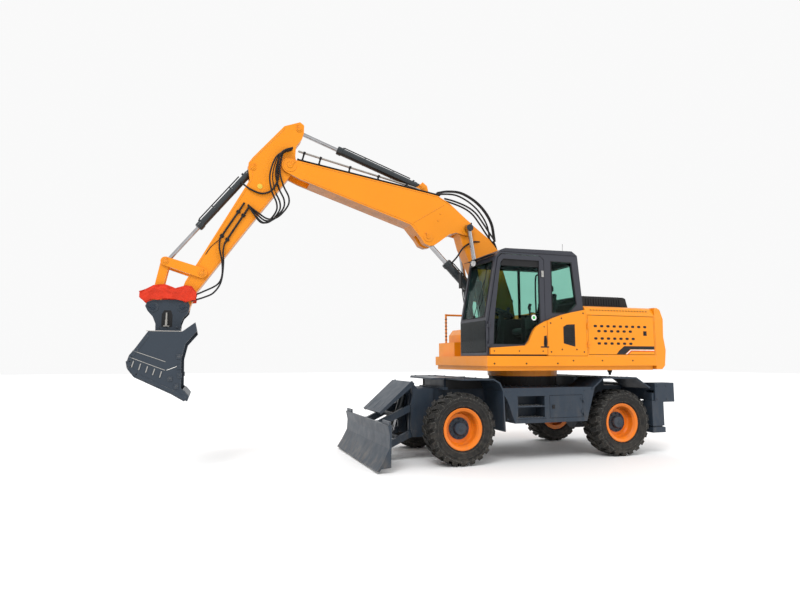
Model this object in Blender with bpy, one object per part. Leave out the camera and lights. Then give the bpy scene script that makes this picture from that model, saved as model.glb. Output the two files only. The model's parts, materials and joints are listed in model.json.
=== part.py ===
"""A wheeled excavator with a two-piece boom, a front dozer blade and rear stabiliser legs.

Metres, +X forward, +Y to the machine's left, +Z up, wheels on z = 0.
All shapes are written from the middle of the wheelbase; the root empty then moves
the machine so that the origin lies under the middle of its length.
"""

import math

import bmesh
import bpy
from mathutils import Matrix, Vector

# ------------------------------------------------------------- driving dimensions
WHEELBASE = 2.858
TRACK = 1.864
TYRE_RADIUS = 0.5375
TYRE_WIDTH = 0.40
RIM_LIP_RADIUS = 0.312
RIM_SEAT_RADIUS = 0.260
RIM_WIDTH = 0.330
WHEEL_SEGMENTS = 32
KINGPIN_Y = 0.78
AXLE_HALF_DEPTH = 0.08

FRAME_HALF_WIDTH = 0.34
FRAME_BOTTOM = 0.74
FRAME_TOP = 1.12
NOSE_FRONT = 1.86
NOSE_BACK = 1.62
NOSE_BOTTOM = 0.36
REAR_END = -1.95
FENDER_TOP = 1.272
SHEET = 0.022
BODY_HALF_WIDTH = 1.12
BOX_INNER_Y = 0.78

SWING_X = -0.238
RING_RADIUS = 0.60
RING_TOP = 1.285
DECK_BOTTOM = 1.391
DECK_TOP = 1.615
DECK_HALF_WIDTH = 1.20
DECK_FRONT = 1.07
COWL_FRONT = -0.72
COWL_BACK = -2.085
COWL_TOP = 2.43
WALL = 0.03

CAB_LEFT = 1.15
CAB_RIGHT = 0.24
CAB_BACK = -0.70
CAB_FRONT = 1.05
CAB_TOP = 3.29
CAB_WALL = 0.055
SILL_TOP = 2.17
DOOR_REAR = 0.02
DOOR_FRONT = 1.005
HOOD_FRONT = -0.78
HOOD_BACK = -1.86
HOOD_LEFT = 0.95
HOOD_RIGHT = -0.35
STEP_FRONT = 0.53
STEP_BACK = 0.03
LOCKER_FRONT = -0.05
LOCKER_BACK = -0.65

BOOM_Y = -0.10
FOOT = (-0.05, 1.90)
BASE_BOOM_LENGTH = 2.108
BASE_BOOM_ANGLE = 65.6
BASE_BOOM_WIDTH = 0.26
UPPER_BOOM_LENGTH = 3.182
UPPER_BOOM_ANGLE = 14.6
UPPER_BOOM_WIDTH = 0.35
ARM_LENGTH = 2.755
ARM_ANGLE = -56.7
ARM_WIDTH = 0.26
BUCKET_WIDTH = 1.20
EAR_OUTER = 0.20
PLATE = 0.035
LIFT_Y = 0.24
LIFT_GLAND = 1.16
ADJUST_GLAND = 0.81
ARM_GLAND = 1.56
BUCKET_GLAND = 1.24

BLADE_WIDTH = 2.467
BLADE_TOP = 0.65
BLADE_TIP = 0.030
BLADE_FRONT = 2.795
BLADE_ARM_X = 1.93
BLADE_ARM_LOW_Z = 0.43
BLADE_ARM_HIGH_Z = 0.83
BLADE_ARM_REACH = 0.57
BLADE_ARM_DROP = 0.26
BLADE_ARM_Y = 0.32
BLADE_CYLINDER_TOP = (1.965, 1.06)
BLADE_CYLINDER_LOW = (2.18, 0.345)
BLADE_CYLINDER_Y = 0.0
GUARD_HINGE = (1.985, 1.185)

LEG_X = -2.17
LEG_Y = 0.975
LEG_SIZE = 0.24
LEG_BOTTOM = 0.35
END_BOX_BACK = -2.52

HINGE_RADIUS = 0.012
HINGE_LENGTH = 0.045
CAB_HINGE = (DOOR_FRONT + 0.012, DECK_HALF_WIDTH - 0.01)
CAB_HINGE_LEVELS = (1.80, 2.10)
ENGINE_HINGE_X = COWL_FRONT - 0.018
ENGINE_HINGE_Y = DECK_HALF_WIDTH + 0.013
ENGINE_HINGE_LEVELS = (1.80, 2.10)
HOOD_HINGE = (HOOD_BACK - 0.010, COWL_TOP + 0.012)
HOOD_HINGE_LANES = (-0.10, 0.70)
LOCKER_HINGE = (LOCKER_BACK - 0.005, BODY_HALF_WIDTH + 0.013)
LOCKER_HINGE_LEVELS = (0.72, 0.92)

GAP = 0.0003        # between faces that rest on each other
PIN_GAP = 0.0008    # beside an eye on its pin
RUN_GAP = 0.006     # between pieces that move past each other

AXLE_Z = TYRE_RADIUS * math.cos(math.pi / WHEEL_SEGMENTS)
FRONT_X = WHEELBASE / 2
REAR_X = -WHEELBASE / 2


class Link:
    """A boom or arm: a start pin, a direction and the points laid out along it."""

    def __init__(self, start, length, degrees):
        self.start = Vector((start[0], start[1]))
        self.length = length
        turn = math.radians(degrees)
        self.along = Vector((math.cos(turn), math.sin(turn)))
        self.across = Vector((-math.sin(turn), math.cos(turn)))
        self.end = self.start + self.along * length

    def at(self, along, across):
        point = self.start + self.along * along + self.across * across
        return (point.x, point.y)

    def outline(self, points):
        return [self.at(along, across) for along, across in points]


BASE = Link(FOOT, BASE_BOOM_LENGTH, BASE_BOOM_ANGLE)
UPPER = Link(BASE.end, UPPER_BOOM_LENGTH, UPPER_BOOM_ANGLE)
ARM = Link(UPPER.end, ARM_LENGTH, ARM_ANGLE)
TOOL = Link(ARM.end, 1.0, 0.0)

LIFT_BASE = (FOOT[0] + 0.53, FOOT[1] - 0.16)
ADJUST_BASE = BASE.at(0.952, -0.26)
ADJUST_TOP = UPPER.at(0.659, -0.367)
ARM_CYLINDER_BASE = UPPER.at(0.950, 0.476)
ARM_CYLINDER_TOP = ARM.at(-0.603, 0.229)
BUCKET_CYLINDER_BASE = ARM.at(0.383, 0.428)
ROCKER_PIN = ARM.at(2.186, 0.075)
ROCKER_TOP = TOOL.at(0.259, 0.668)
LINK_PIN = TOOL.at(0.392, -0.014)
BUCKET_FRONT = TOOL.at(0.650, -0.781)[0]

ORIGIN_X = (BUCKET_FRONT + END_BOX_BACK) / 2

PAINT = {
    "orange": ((0.85, 0.31, 0.02), 0.38, 0.1),
    "slate": ((0.045, 0.055, 0.07), 0.5, 0.2),
    "cab_grey": ((0.035, 0.036, 0.045), 0.45, 0.2),
    "black": ((0.012, 0.012, 0.012), 0.6, 0.0),
    "rubber": ((0.02, 0.02, 0.02), 0.85, 0.0),
    "steel": ((0.6, 0.6, 0.6), 0.2, 1.0),
    "cylinder_black": ((0.02, 0.025, 0.028), 0.4, 0.3),
    "cloth_red": ((0.9, 0.05, 0.01), 0.9, 0.0),
    "seat_black": ((0.02, 0.02, 0.022), 0.8, 0.0),
    "engine_grey": ((0.2, 0.2, 0.2), 0.6, 0.4),
}


# ------------------------------------------------------------- scene helpers
def clear_scene():
    for obj in list(bpy.data.objects):
        bpy.data.objects.remove(obj, do_unlink=True)


def make_materials():
    made = {}
    for name, (colour, roughness, metallic) in PAINT.items():
        material = bpy.data.materials.new(name)
        material.use_nodes = True
        shader = material.node_tree.nodes["Principled BSDF"]
        shader.inputs["Base Color"].default_value = (*colour, 1.0)
        shader.inputs["Roughness"].default_value = roughness
        shader.inputs["Metallic"].default_value = metallic
        made[name] = material
    return made


def make_pivot(name, x, y, z, parent=None):
    """An empty on a joint's axis, placed in the machine's own coordinates."""
    empty = bpy.data.objects.new(name, None)
    bpy.context.scene.collection.objects.link(empty)
    empty["machine_place"] = (x, y, z)
    empty.location = (x, y, z)
    if parent is not None:
        empty.parent = parent
        empty.location = Vector((x, y, z)) - Vector(parent["machine_place"])
    return empty


# ------------------------------------------------------------- mesh helpers
def finish_mesh(bm, name="shape"):
    bmesh.ops.recalc_face_normals(bm, faces=bm.faces)
    mesh = bpy.data.meshes.new(name)
    bm.to_mesh(mesh)
    bm.free()
    return mesh


def prism(outline, low, high, axis="Y"):
    """A flat outline pushed from low to high along one axis."""
    place = {
        "X": lambda a, b, t: (t, a, b),
        "Y": lambda a, b, t: (a, t, b),
        "Z": lambda a, b, t: (a, b, t),
    }[axis]
    bm = bmesh.new()
    first = [bm.verts.new(place(a, b, low)) for a, b in outline]
    second = [bm.verts.new(place(a, b, high)) for a, b in outline]
    bm.faces.new(first)
    bm.faces.new(second)
    count = len(outline)
    for i in range(count):
        j = (i + 1) % count
        bm.faces.new((first[i], first[j], second[j], second[i]))
    return finish_mesh(bm)


def box(x0, x1, y0, y1, z0, z1):
    return prism([(x0, z0), (x1, z0), (x1, z1), (x0, z1)], y0, y1)


def circle(centre, radius, segments=20, start=0.0, sweep=360.0):
    steps = segments if sweep >= 360.0 else segments + 1
    points = []
    for i in range(steps):
        turn = math.radians(start + sweep * i / segments)
        points.append((centre[0] + radius * math.cos(turn), centre[1] + radius * math.sin(turn)))
    return points


def disc(centre, radius, low, high, axis="Y", segments=20):
    return prism(circle(centre, radius, segments), low, high, axis)


def sheet_outline(points, thickness):
    """A bent plate's outline: the given line and the same line moved down by its thickness."""
    lower = []
    for i, point in enumerate(points):
        before = Vector(points[max(i - 1, 0)])
        after = Vector(points[min(i + 1, len(points) - 1)])
        direction = (after - before).normalized()
        normal = Vector((direction.y, -direction.x))
        lower.append(tuple(Vector(point) + normal * thickness))
    return list(points) + lower[::-1]


def turned(profile, centre, segments=WHEEL_SEGMENTS, side=1.0):
    """A closed profile of (radius, offset) turned about a line along Y through centre."""
    bm = bmesh.new()
    rings = []
    for radius, offset in profile:
        y = centre[1] + side * offset
        if radius < 1e-6:
            rings.append([bm.verts.new((centre[0], y, centre[2]))])
            continue
        ring = []
        for i in range(segments):
            turn = math.pi * (2 * i + 1) / segments
            ring.append(bm.verts.new((
                centre[0] + radius * math.sin(turn), y, centre[2] - radius * math.cos(turn))))
        rings.append(ring)
    closed = len(rings[0]) > 1
    pairs = list(zip(rings, rings[1:]))
    if closed:
        pairs.append((rings[-1], rings[0]))
    for a, b in pairs:
        for i in range(segments):
            j = (i + 1) % segments
            if len(a) == 1 and len(b) == 1:
                continue
            if len(a) == 1:
                bm.faces.new((a[0], b[i], b[j]))
            elif len(b) == 1:
                bm.faces.new((a[i], b[0], a[j]))
            else:
                bm.faces.new((a[i], b[i], b[j], a[j]))
    return finish_mesh(bm)


def bar(start, end, radius, y, segments=14, bore=0.0, closed_end=0.0):
    """A round bar or a tube from start to end in the XZ plane at one y."""
    start = Vector((start[0], y, start[1]))
    end = Vector((end[0], y, end[1]))
    along = end - start
    length = along.length
    if bore > 0.0:
        profile = [(0, 0), (radius, 0), (radius, length), (bore, length), (bore, closed_end), (0,
            closed_end)]
    else:
        profile = [(0, 0), (radius, 0), (radius, length), (0, length)]
    mesh = turned(profile, (0.0, 0.0, 0.0), segments)
    turn = Vector((0, 1, 0)).rotation_difference(along.normalized()).to_matrix().to_4x4()
    mesh.transform(Matrix.Translation(start) @ turn)
    return mesh


def toward(start, end, distance):
    """The point at a distance from start on the line to end."""
    a = Vector(start)
    b = Vector(end)
    return tuple(a + (b - a).normalized() * distance)


def mirrored(mesh):
    copy = mesh.copy()
    copy.transform(Matrix.Scale(-1, 4, (0, 1, 0)))
    copy.flip_normals()
    return copy


def sided(meshes, side):
    return meshes if side > 0 else [mirrored(mesh) for mesh in meshes]


class Builder:
    """Turns meshes in machine coordinates into named objects under their joint's empty."""

    def __init__(self, materials):
        self.materials = materials
        self.cutters = 0

    def place(self, mesh, name, pivot):
        mesh.transform(Matrix.Translation(-Vector(pivot["machine_place"])))
        mesh.name = name
        obj = bpy.data.objects.new(name, mesh)
        bpy.context.scene.collection.objects.link(obj)
        obj.parent = pivot
        return obj

    def node(self, name, material, pivot, adds, cuts=(), smooth=True):
        obj = self.place(adds[0], name, pivot)
        obj.data.materials.append(self.materials[material])
        steps = [(mesh, "UNION") for mesh in adds[1:]] + [(mesh, "DIFFERENCE") for mesh in cuts]
        for mesh, operation in steps:
            self.cutters += 1
            cutter = self.place(mesh, f"guide_{self.cutters:03d}", pivot)
            cutter.hide_render = True
            cutter.display_type = "WIRE"
            cutter.hide_set(True)
            modifier = obj.modifiers.new(f"{operation.lower()}_{self.cutters:03d}", "BOOLEAN")
            modifier.operation = operation
            modifier.object = cutter
            modifier.solver = "EXACT"
        if smooth:
            obj.data.shade_smooth()
            obj.data.set_sharp_from_angle(angle=math.radians(35))
        return obj


# ------------------------------------------------------------- wheels and axles
def rim_profile():
    half = RIM_WIDTH / 2
    seat = RIM_SEAT_RADIUS
    lip = RIM_LIP_RADIUS
    return [
        (0, 0.075), (0.085, 0.075), (0.095, 0.060), (0.095, 0.0), (seat - 0.045, 0.0),
        (seat - 0.022, 0.030), (seat - 0.016, half - 0.045), (seat + 0.005, half - 0.015),
        (lip - 0.012, half), (lip, half - 0.004), (lip, half - 0.017), (seat, half - 0.035),
        (seat, -half + 0.035), (lip, -half + 0.017), (lip, -half), (seat - 0.02, -half + 0.005),
        (seat - 0.025, -0.030), (0.10, -0.030), (0, -0.030)]


def tyre_profile():
    half = TYRE_WIDTH / 2
    rim_half = RIM_WIDTH / 2
    seat = RIM_SEAT_RADIUS + 0.0006
    lip = RIM_LIP_RADIUS + 0.0015
    outer = TYRE_RADIUS
    upper = [
        (seat, rim_half - 0.0362), (lip, rim_half - 0.0182), (lip + 0.022, half - 0.022),
        (lip + 0.095, half), (outer - 0.055, half - 0.005), (outer - 0.012, half - 0.028),
        (outer, half - 0.055)]
    return upper + [(radius, -offset) for radius, offset in reversed(upper)]


def build_wheel(b, name, x, side, pivot):
    centre = (x, side * TRACK / 2, AXLE_Z)
    b.node(f"{name}_rim", "orange", pivot, [turned(rim_profile(), centre, side=side)])
    b.node(f"{name}_tyre", "rubber", pivot, [turned(tyre_profile(), centre, side=side)])


def knuckle_shape(side):
    spindle_end = TRACK / 2 - 0.030 - PIN_GAP
    block = box(FRONT_X - 0.07, FRONT_X + 0.07, KINGPIN_Y - 0.06, KINGPIN_Y + 0.055,
                AXLE_Z - 0.137, AXLE_Z + 0.137)
    spindle = disc((FRONT_X, AXLE_Z), 0.085, KINGPIN_Y + 0.04, spindle_end)
    lever = prism([(FRONT_X - 0.02, KINGPIN_Y - 0.05), (FRONT_X - 0.16, KINGPIN_Y - 0.06),
                   (FRONT_X - 0.18, KINGPIN_Y - 0.02), (FRONT_X - 0.06, KINGPIN_Y + 0.02)],
                  AXLE_Z - 0.135, AXLE_Z - 0.100, "Z")
    return sided([block, spindle, lever], side)


def yoke(side):
    inner = KINGPIN_Y - 0.20
    plate = [(FRONT_X - AXLE_HALF_DEPTH, inner), (FRONT_X + AXLE_HALF_DEPTH, inner),
             (FRONT_X + 0.05, KINGPIN_Y + 0.05), (FRONT_X - 0.05, KINGPIN_Y + 0.05)]
    top = prism(plate, AXLE_Z + 0.1378, AXLE_Z + 0.185, "Z")
    low = prism(plate, AXLE_Z - 0.185, AXLE_Z - 0.1378, "Z")
    back = box(FRONT_X - 0.075, FRONT_X + 0.075, inner - 0.03, inner + 0.04, AXLE_Z - 0.18, AXLE_Z + 0.18)
    return sided([back, top, low], side)


def build_axles(b, chassis):
    beam = box(FRONT_X - AXLE_HALF_DEPTH, FRONT_X + AXLE_HALF_DEPTH, -0.60, 0.60, AXLE_Z - 0.09,
               AXLE_Z + 0.09)
    housing = disc((0.0, AXLE_Z), 0.17, FRONT_X - 0.17, FRONT_X + 0.15, "X", 20)
    saddle = box(FRONT_X - 0.11, FRONT_X + 0.11, -0.16, 0.16, AXLE_Z + 0.05, FRAME_BOTTOM - GAP)
    b.node("front_axle", "slate", chassis, [beam, housing, saddle] + yoke(1) + yoke(-1))
    reach = TRACK / 2 - 0.030 - PIN_GAP
    tube = disc((REAR_X, AXLE_Z), 0.09, -reach, reach, "Y", 20)
    drums = [disc((REAR_X, AXLE_Z), 0.165, side * 0.62, side * 0.74) for side in (1, -1)]
    case = disc((0.0, AXLE_Z), 0.19, REAR_X - 0.17, REAR_X + 0.20, "X", 20)
    seats = [box(REAR_X - 0.10, REAR_X + 0.10, side * 0.20, side * 0.32, AXLE_Z, FRAME_BOTTOM - GAP)
             for side in (1, -1)]
    b.node("rear_axle", "slate", chassis, [tube, case] + drums + seats)


# ------------------------------------------------------------- chassis
def build_chassis(b, chassis):
    half = FRAME_HALF_WIDTH
    adds = [
        box(REAR_END, NOSE_FRONT, -half, half, FRAME_BOTTOM, FRAME_TOP - 0.01),
        box(NOSE_BACK, NOSE_FRONT - 0.01, -half - 0.06, half + 0.06, NOSE_BOTTOM, FRAME_TOP - 0.02),
        disc((SWING_X, 0.0), RING_RADIUS + 0.03, 1.0, FRAME_TOP, "Z", 32),
        box(FRONT_X - 0.45, FRONT_X + 0.01, -half - 0.08, half + 0.08, FRAME_TOP - 0.02, FENDER_TOP - 0.01),
        box(FRONT_X - 0.50, FRONT_X + 0.25, -0.50, 0.50, FENDER_TOP - SHEET, FENDER_TOP),
        box(REAR_X - 0.20, REAR_X + 0.42, -half - 0.08, half + 0.08, FRAME_TOP - 0.02, FENDER_TOP - 0.01),
        box(REAR_X - 0.30, REAR_X + 0.45, -0.50, 0.50, FENDER_TOP - SHEET, FENDER_TOP),
        box(FRONT_X + 0.005, FRONT_X + 0.07, -0.52, 0.56, FRAME_TOP - 0.032, FRAME_TOP + 0.003),
    ]
    ear = [(NOSE_FRONT - 0.05, NOSE_BOTTOM), (BLADE_ARM_X + 0.03, NOSE_BOTTOM), (BLADE_ARM_X + 0.06,
        BLADE_ARM_LOW_Z),
           (BLADE_ARM_X + 0.06, BLADE_ARM_HIGH_Z + 0.05), (BLADE_ARM_X + 0.02, 1.10), (NOSE_FRONT - 0.05,
               1.10)]
    for side in (1, -1):
        for inner, outer in ((BLADE_ARM_Y - 0.085, BLADE_ARM_Y - 0.04), (BLADE_ARM_Y + 0.04,
            BLADE_ARM_Y + 0.08)):
            adds.append(prism(ear, side * inner, side * outer))
        hinge = [(NOSE_FRONT - 0.05, 1.02), (GUARD_HINGE[0] - 0.02, 1.02), (GUARD_HINGE[0] + 0.01,
            GUARD_HINGE[1] - 0.02),
                 (GUARD_HINGE[0], GUARD_HINGE[1] + 0.012), (GUARD_HINGE[0] - 0.025, GUARD_HINGE[1] + 0.012)]
        adds.append(prism(hinge, side * 0.34, side * 0.39))
    for post in (BLADE_CYLINDER_Y - 0.085, BLADE_CYLINDER_Y + 0.055):
        lug = [(NOSE_FRONT - 0.05, 1.00), (BLADE_CYLINDER_TOP[0], 1.00), (BLADE_CYLINDER_TOP[0] + 0.05,
            BLADE_CYLINDER_TOP[1]),
               (BLADE_CYLINDER_TOP[0], BLADE_CYLINDER_TOP[1] + 0.05), (NOSE_FRONT - 0.05, FRAME_TOP - 0.03)]
        adds.append(prism(lug, post, post + 0.03))
    b.node("chassis_frame", "slate", chassis, adds)
    b.node("slew_ring", "black", chassis,
           [disc((SWING_X, 0.0), RING_RADIUS - 0.02, FRAME_TOP + GAP, RING_TOP, "Z", 32)])


def fender_lines():
    top = FENDER_TOP
    front = [(FRONT_X + 0.01, top), (FRONT_X - 0.50, top), (FRONT_X - 0.61, top - 0.06),
             (FRONT_X - 0.672, top - 0.19), (FRONT_X - 0.690, 0.48)]
    rear = [(REAR_X + 0.60, FRAME_TOP - 0.02), (REAR_X + 0.37, top), (REAR_X - 0.29, top), (REAR_X - 0.57,
        FRAME_TOP - 0.02)]
    return front, rear


def build_mudguards(b, name, side, chassis):
    front, rear = fender_lines()
    inner = 0.50 + GAP
    outer = BODY_HALF_WIDTH + 0.01
    nose = FRONT_X - 0.640
    body = [(nose, 1.125), (REAR_X + 0.53, 1.125), (REAR_X + 0.70, 0.59), (nose - 0.22, 0.59),
            (nose - 0.09, 0.95),
            (nose - 0.015, 1.05)]
    adds = [
        prism(body, BOX_INNER_Y, BODY_HALF_WIDTH),
        prism(sheet_outline(front[::-1], SHEET), inner, outer),
        prism(sheet_outline(rear[::-1], SHEET), inner, outer),
    ]
    for x in (0.25, -0.50):
        adds.append(box(x - 0.06, x + 0.06, FRAME_HALF_WIDTH + GAP, BOX_INNER_Y + 0.05, 0.80, 0.96))
    cuts = [box(STEP_BACK, STEP_FRONT, 0.84, outer + 0.1, 0.65, 1.0)]
    if side > 0:
        cuts.append(box(LOCKER_BACK - 0.006, LOCKER_FRONT + 0.006, 0.82, outer + 0.1, 0.654, 1.006))
        adds += upright_hinge(LOCKER_HINGE, LOCKER_BACK, LOCKER_BACK - 0.04, BODY_HALF_WIDTH,
                              LOCKER_HINGE_LEVELS)[1]
    b.node(name, "slate", chassis, sided(adds, side), sided(cuts, side))


def build_locker_door(b, pivot):
    knuckles = upright_hinge(LOCKER_HINGE, LOCKER_BACK, LOCKER_BACK - 0.04, BODY_HALF_WIDTH,
                             LOCKER_HINGE_LEVELS)[0]
    panel = box(LOCKER_BACK, LOCKER_FRONT, BODY_HALF_WIDTH - 0.025, BODY_HALF_WIDTH + 0.003, 0.66, 1.0)
    b.node("toolbox_door", "slate", pivot, [panel] + knuckles)


def build_stabilisers(b, chassis, left, right):
    half = LEG_SIZE / 2
    adds = [box(LEG_X - 0.25, REAR_END - GAP, -0.30, 0.30, 0.86, 1.10),
            box(LEG_X - 0.25, LEG_X + 0.06, -LEG_Y + 0.05, LEG_Y - 0.05, 0.88, 1.14)]
    cuts = []
    for side in (1, -1):
        low, high = sorted((side * (LEG_Y - 0.125), side * (LEG_Y + 0.125)))
        adds.append(box(END_BOX_BACK, LEG_X + 0.05, low, high, 0.85, 1.17))
        adds.append(box(LEG_X - half, LEG_X + half, side * LEG_Y - half, side * LEG_Y + half,
                        LEG_BOTTOM + 0.11, 0.87))
        cuts.append(box(LEG_X - half + 0.02, LEG_X + half - 0.02, side * LEG_Y - half + 0.02,
                        side * LEG_Y + half - 0.02,
                        0.30, 1.05))
    b.node("stabiliser_beam", "slate", chassis, adds, cuts)
    for name, pivot, side in (("left_stabiliser_leg", left, 1), ("right_stabiliser_leg", right, -1)):
        inner = half - 0.02 - PIN_GAP
        y = side * LEG_Y
        tube = box(LEG_X - inner, LEG_X + inner, y - inner, y + inner, LEG_BOTTOM + 0.05, 1.0)
        foot = box(LEG_X - half - 0.01, LEG_X + half + 0.01, y - half - 0.01, y + half + 0.01, LEG_BOTTOM,
                   LEG_BOTTOM + 0.09)
        b.node(name, "slate", pivot, [tube, foot])


# ------------------------------------------------------------- blade
def build_blade(b, blade, lower, upper, guard, barrel, rod):
    half = BLADE_WIDTH / 2
    front = BLADE_FRONT
    shell = [(front - 0.155, BLADE_TOP), (front - 0.185, 0.50), (front - 0.175, 0.33), (front - 0.09,
        0.165),
             (front, BLADE_TIP), (front - 0.03, BLADE_TIP), (front - 0.13, 0.13), (front - 0.205, 0.30),
             (front - 0.215, 0.50), (front - 0.185, BLADE_TOP)]
    cheek = [(front - 0.155, BLADE_TOP), (front - 0.185, 0.50), (front - 0.175, 0.33), (front - 0.09,
        0.165),
             (front - 0.05, BLADE_TIP + 0.03), (front - 0.205, BLADE_TIP + 0.045), (front - 0.215,
                 BLADE_TOP)]
    low_pin = (BLADE_ARM_X + BLADE_ARM_REACH, BLADE_ARM_LOW_Z - BLADE_ARM_DROP)
    high_pin = (BLADE_ARM_X + BLADE_ARM_REACH, BLADE_ARM_HIGH_Z - BLADE_ARM_DROP)
    rib = [(low_pin[0] - 0.05, low_pin[1] - 0.05), (front - 0.12, 0.12), (front - 0.19, 0.30),
           (front - 0.20, 0.50),
           (front - 0.17, high_pin[1] + 0.05), (high_pin[0] - 0.05, high_pin[1] + 0.05)]
    adds = [prism(shell, -half, half)]
    for side in (1, -1):
        adds.append(prism(cheek, side * (half - 0.02), side * half))
        for inner, outer in ((BLADE_ARM_Y - 0.085, BLADE_ARM_Y - 0.04), (BLADE_ARM_Y + 0.04,
            BLADE_ARM_Y + 0.08)):
            adds.append(prism(rib, side * inner, side * outer))
        lane = sorted((side * (half - 0.32), side * (half - 0.005)))
        adds.append(box(front - 0.20, front - 0.175, *lane, BLADE_TOP - 0.03, BLADE_TOP + 0.05))
    b.node("blade", "slate", blade, adds)

    width = 0.04 - PIN_GAP
    for name, pivot, z in (("blade_lower_arm", lower, BLADE_ARM_LOW_Z), ("blade_upper_arm", upper,
        BLADE_ARM_HIGH_Z)):
        start = Vector((BLADE_ARM_X, z))
        link = Link(start, math.hypot(BLADE_ARM_REACH, BLADE_ARM_DROP),
                    -math.degrees(math.atan2(BLADE_ARM_DROP, BLADE_ARM_REACH)))
        outline = [link.at(0.0, 0.05), link.at(-0.04, 0.03), link.at(-0.04, -0.03), link.at(0.0, -0.05),
                   link.at(link.length, -0.05), link.at(link.length + 0.04, -0.03),
                   link.at(link.length + 0.04, 0.03), link.at(link.length, 0.05)]
        adds = [prism(outline, side * BLADE_ARM_Y - width, side * BLADE_ARM_Y + width) for side in (1, -1)]
        if name == "blade_lower_arm":
            adds.insert(1, disc(BLADE_CYLINDER_LOW, 0.04, -BLADE_ARM_Y, BLADE_ARM_Y, "Y", 12))
            for side in (1, -1):
                adds.append(bar(BLADE_CYLINDER_LOW, toward(BLADE_CYLINDER_LOW, BLADE_CYLINDER_TOP, 0.09),
                                0.014,
                                BLADE_CYLINDER_Y + side * 0.042, 10))
        else:
            middle = link.at(link.length * 0.52, 0.0)
            adds.insert(1, disc(middle, 0.035, -BLADE_ARM_Y, BLADE_ARM_Y, "Y", 12))
        b.node(name, "slate", pivot, adds)

    end = (GUARD_HINGE[0] + 0.515, GUARD_HINGE[1] - 0.46)
    plate = Link(GUARD_HINGE, math.hypot(0.515, 0.46), -math.degrees(math.atan2(0.46, 0.515)))
    outline = plate.outline([(0.0, 0.045), (0.0, 0.02), (plate.length, 0.02), (plate.length, 0.045)])
    flanges = plate.outline([(0.0, 0.03), (0.05, -0.03), (plate.length, 0.0), (plate.length, 0.03)])
    eye = plate.outline([(-0.03, -0.03), (0.03, -0.03), (0.06, 0.03), (-0.03, 0.03)])
    adds = [prism(outline, -0.46, 0.46)]
    for side in (1, -1):
        adds.append(prism(flanges, *sorted((side * 0.44, side * 0.455))))
        adds.append(prism(eye, *sorted((side * (0.39 + PIN_GAP), side * 0.43))))
    b.node("blade_guard", "slate", guard, adds)

    y = BLADE_CYLINDER_Y
    length = (Vector(BLADE_CYLINDER_LOW) - Vector(BLADE_CYLINDER_TOP)).length
    gland = toward(BLADE_CYLINDER_TOP, BLADE_CYLINDER_LOW, length - 0.27)
    b.node("blade_cylinder", "cylinder_black", barrel, [
        bar(toward(BLADE_CYLINDER_TOP, BLADE_CYLINDER_LOW, 0.035), gland, 0.055, y, 14, 0.0256, 0.04),
        disc(BLADE_CYLINDER_TOP, 0.045, y - 0.055 + PIN_GAP, y + 0.055 - PIN_GAP, "Y", 14)])
    b.node("blade_rod", "steel", rod, [
        bar(toward(BLADE_CYLINDER_TOP, BLADE_CYLINDER_LOW, 0.24),
            toward(BLADE_CYLINDER_TOP, BLADE_CYLINDER_LOW, length - 0.052), 0.025, y)])


# ------------------------------------------------------------- upper structure
def build_deck(b, upper):
    plan = [(COWL_BACK, -DECK_HALF_WIDTH), (0.80, -DECK_HALF_WIDTH), (DECK_FRONT, -0.80), (DECK_FRONT,
        DECK_HALF_WIDTH),
            (COWL_BACK, DECK_HALF_WIDTH)]
    adds = [prism(plan, DECK_BOTTOM + 0.07, DECK_TOP, "Z"),
            prism([(x + (0.03 if x < 0 else -0.03), y * 0.955) for x, y in plan], DECK_BOTTOM,
                  DECK_BOTTOM + 0.08, "Z"),
            disc((SWING_X, 0.0), RING_RADIUS, RING_TOP + PIN_GAP, DECK_BOTTOM + 0.02, "Z", 32)]
    cheek = [(FOOT[0] - 0.28, DECK_TOP - 0.05), (LIFT_BASE[0] + 0.14, DECK_TOP - 0.05),
             (LIFT_BASE[0] + 0.10, LIFT_BASE[1] + 0.06),
             (LIFT_BASE[0] - 0.12, LIFT_BASE[1] + 0.07), (FOOT[0] + 0.14,
                                                          FOOT[1] + 0.06), (FOOT[0] + 0.06, FOOT[1] + 0.14),
             (FOOT[0] - 0.08, FOOT[1] + 0.13), (FOOT[0] - 0.16, FOOT[1] + 0.02)]
    inner = BASE_BOOM_WIDTH / 2 + PIN_GAP
    for side in (1, -1):
        adds.append(prism(cheek, *sorted((BOOM_Y + side * inner, BOOM_Y + side * (inner + PLATE)))))
    cuts = [disc(LIFT_BASE, 0.042, BOOM_Y - 0.3, BOOM_Y + 0.3, "Y", 14)]
    b.node("deck_frame", "orange", upper, adds, cuts)


def cab_outline(inset=0.0):
    return [(CAB_FRONT - inset, DECK_TOP + 0.0058 + inset), (CAB_FRONT - inset, SILL_TOP),
            (0.865 - inset, CAB_TOP - 0.13 - inset * 0.4), (0.78 - inset * 0.6, CAB_TOP - 0.03 - inset),
            (0.70 - inset * 0.5, CAB_TOP - inset), (-0.52 + inset * 0.5, CAB_TOP + 0.02 - inset),
            (-0.62 + inset, CAB_TOP - 0.05 - inset * 0.5), (CAB_BACK + inset, 2.40),
            (CAB_BACK + inset, DECK_TOP + 0.0058 + inset)]


def door_outline(grow=0.0):
    return [(DOOR_FRONT + grow, DECK_TOP + 0.025 - grow), (DOOR_FRONT + grow, SILL_TOP), (0.835 + grow,
        CAB_TOP - 0.16 + grow * 0.4),
            (0.77 + grow * 0.6, CAB_TOP - 0.10 + grow), (DOOR_REAR + 0.06, CAB_TOP - 0.10 + grow),
            (DOOR_REAR - grow, CAB_TOP - 0.16 + grow), (DOOR_REAR - grow, DECK_TOP + 0.025 - grow)]


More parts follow.
